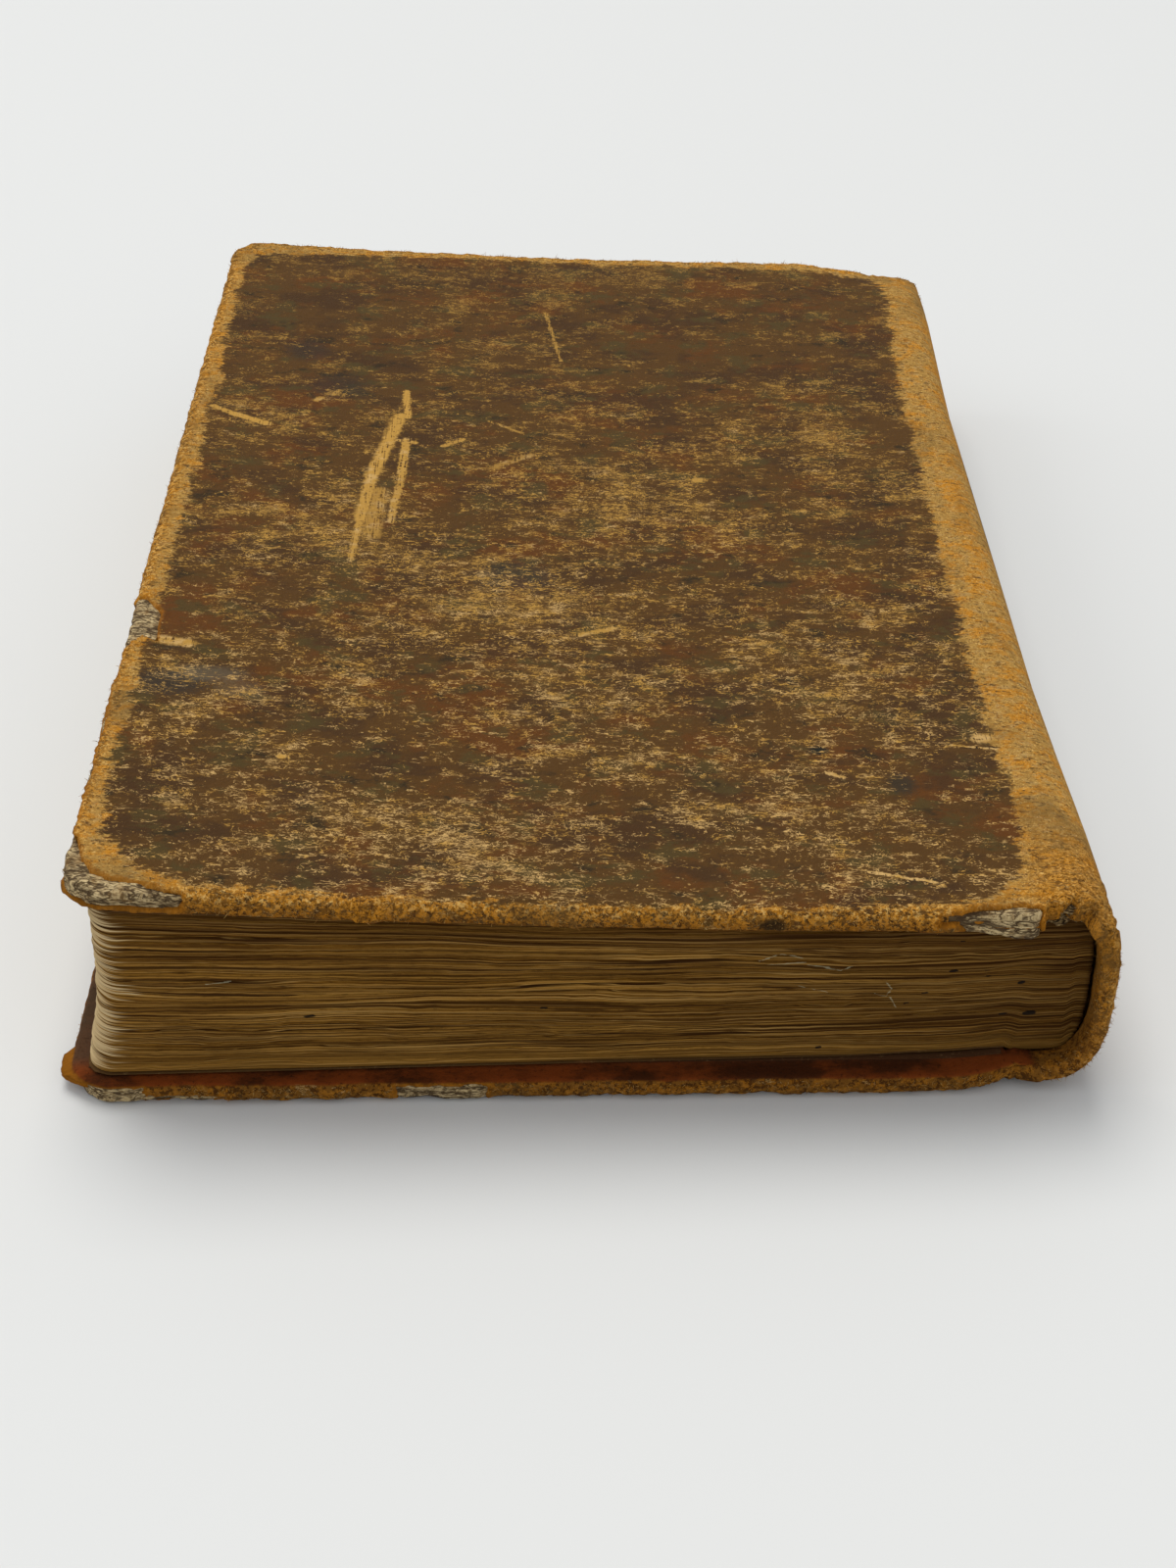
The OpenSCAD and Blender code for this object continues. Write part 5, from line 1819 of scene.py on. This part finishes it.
@dataclass(frozen=True)
class Studio:
    """A pale floor, soft light and the photograph's camera."""

    camera_mm: tuple[float, float, float] = (-1.94, -362.97, 233.29)
    pitch: float = 35.243
    yaw: float = 0.56
    roll: float = -0.271
    lens: float = 54.1

    def build(self) -> None:
        """Makes the floor, the lights, the world and the camera."""
        self.floor()
        self.lights()
        self.camera()

    def camera(self) -> None:
        """Places the camera: it looks along +Y, turned by its yaw, tipped by its pitch and rolled."""
        p, w, r = (math.radians(a) for a in (self.pitch, self.yaw, self.roll))
        ahead = Vector((math.sin(w) * math.cos(p), math.cos(w) * math.cos(p), -math.sin(p)))
        level = Vector((math.cos(w), -math.sin(w), 0.0))
        upright = level.cross(ahead)
        right = math.cos(r) * level + math.sin(r) * upright
        up = -math.sin(r) * level + math.cos(r) * upright
        lens = bpy.data.cameras.new("photo_camera")
        lens.lens = self.lens
        lens.sensor_width = 36.0
        lens.clip_start, lens.clip_end = 0.01, 20.0
        camera = bpy.data.objects.new("photo_camera", lens)
        turn = Matrix((right, up, -ahead)).transposed().to_4x4()
        camera.matrix_world = Matrix.Translation(Vector(self.camera_mm) * MM) @ turn
        bpy.context.scene.collection.objects.link(camera)
        bpy.context.scene.camera = camera

    def floor(self) -> None:
        """Makes a wide pale floor under the book."""
        mesh = bpy.data.meshes.new("studio_floor")
        r = 6.0
        mesh.from_pydata([(-r, -r, 0), (r, -r, 0), (r, r, 0), (-r, r, 0)], [], [(0, 1, 2, 3)])
        floor = bpy.data.objects.new("studio_floor", mesh)
        bpy.context.scene.collection.objects.link(floor)
        p = Paint("pale_floor")
        mesh.materials.append(p.finish((0.66, 0.66, 0.645), 0.75, []))
        floor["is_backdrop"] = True

    def lights(self) -> None:
        """Hangs a wide soft light far above and behind the book, two weak ones near it, and an even sky."""
        for name, place, size, power, colour in (
            ("side_light", (-1.2, 0.1, 0.9), 0.9, 3.0, (0.97, 0.985, 1.0)),
            ("front_light", (0.5, -1.3, 0.9), 1.1, 1.2, (1.0, 0.99, 0.97)),
        ):
            light = bpy.data.lights.new(name, "AREA")
            light.energy, light.size, light.color = power, size, colour
            lamp = bpy.data.objects.new(name, light)
            lamp.location = place
            lamp.rotation_mode = "QUATERNION"
            lamp.rotation_quaternion = (Vector((0, 0, 0.02)) - Vector(place)).to_track_quat("-Z", "Y")
            bpy.context.scene.collection.objects.link(lamp)
        window = bpy.data.lights.new("window_light", "SUN")
        window.energy, window.angle, window.color = 1.85, math.radians(38), (1.0, 0.985, 0.955)
        lamp = bpy.data.objects.new("window_light", window)
        lamp.rotation_mode = "QUATERNION"
        lamp.rotation_quaternion = Vector((0.12, -0.42, -1.0)).to_track_quat("-Z", "Y")
        bpy.context.scene.collection.objects.link(lamp)
        world = bpy.data.worlds.new("soft_sky")
        world.use_nodes = True
        sky = next(n for n in world.node_tree.nodes if n.type == "BACKGROUND")
        sky.inputs["Color"].default_value = (0.93, 0.96, 1.0, 1.0)
        sky.inputs["Strength"].default_value = 0.63
        bpy.context.scene.world = world
        bpy.context.scene.view_settings.view_transform = "Standard"


# Assembly


LEAVES_BODY = "sewn_leaves"
COVER_BODY = {Side.FRONT: "front_cover", Side.BACK: "back_cover"}


def cover_with(piece: bpy.types.Object, material: bpy.types.Material) -> None:
    """Makes a material the only one of a piece."""
    piece.data.materials.clear()
    piece.data.materials.append(material)


def dress(piece: bpy.types.Object, material: bpy.types.Material) -> None:
    """Gives a piece its one material."""
    cover_with(piece, material)


def make_hide(sizes: BookSizes) -> None:
    """Builds and dresses the three shells of the hide, and the boards that show where it is worn."""
    hide = Hide(sizes)
    leather = HideFinish().material()
    board_paint = BoardFinish().material()
    boards = Pasteboards(sizes, hide)
    for side in Side:
        skin = hide.cover(side)
        dress(skin, leather)
        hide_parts(f"{side.value}_hide")
        joint = sizes.joint_x(side) * MM
        height = (sizes.joint_z if side is Side.FRONT else sizes.spine_lift) * MM
        joint - 0.0021
        joint + 0.001
        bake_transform(skin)
        board = boards.build(side)
        dress(board, board_paint)
        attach(board, COVER_BODY[side])
        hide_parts(f"{side.value}_board")
        LOG.info("%s cover: hide %d faces, board %d faces", side.value, len(skin.data.polygons),
                 len(board.data.polygons))
    spine = hide.spine()
    dress(spine, leather)
    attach(spine, LEAVES_BODY)
    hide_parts("spine_hide")
    LOG.info("spine: hide %d faces", len(spine.data.polygons))
    fibres = FuzzFinish().material()
    for fuzz, body in zip(hide.grown, (COVER_BODY[Side.FRONT], COVER_BODY[Side.BACK], LEAVES_BODY)):
        dress(fuzz, fibres)
        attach(fuzz, body)
    torn = TornLining(sizes).build()
    lining = BoardFinish(pale=(0.42, 0.285, 0.120), mid=(0.15, 0.080, 0.026), dark=(0.020, 0.009, 0.003))
    dress(torn, lining.material("crumpled_lining"))
    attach(torn, LEAVES_BODY)


def make_leaves(sizes: BookSizes) -> None:
    """Builds and dresses the leaves."""
    block = Leaves(sizes).build()
    dress(block, LeafFinish().material())
    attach(block, LEAVES_BODY)
    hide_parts("text_block")
    LOG.info("leaves: %d faces", len(block.data.polygons))


def dress_nodes(frame: dict) -> None:
    """Gives the CAD nodes that stay in sight their finishes."""
    paper = PaperFinish()
    pasted = paper.material("stained_endpaper", 0.75, (0.055, 0.019, 0.006))
    free = paper.material("free_endpaper", 0.5, (0.070, 0.030, 0.005))
    cord = CordFinish().material()
    for name, node in frame["nodes"].items():
        if node.hide_render:
            continue
        paint = pasted if "pastedown" in name else free
        if "cord" in name or "slip" in name or "kettle" in name:
            paint = cord
        cover_with(node, paint)
        LOG.info("%s: %s", name, paint.name)


def main() -> tuple[Vector, Vector]:
    """Loads the frame, builds every piece and returns the CAD model's box."""
    logging.basicConfig(level=logging.INFO, format="%(message)s")
    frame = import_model()
    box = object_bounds()
    sizes = BookSizes()
    make_hide(sizes)
    make_leaves(sizes)
    dress_nodes(frame)
    Studio().build()
    return box


if __name__ == "__main__":
    cad_box = main()
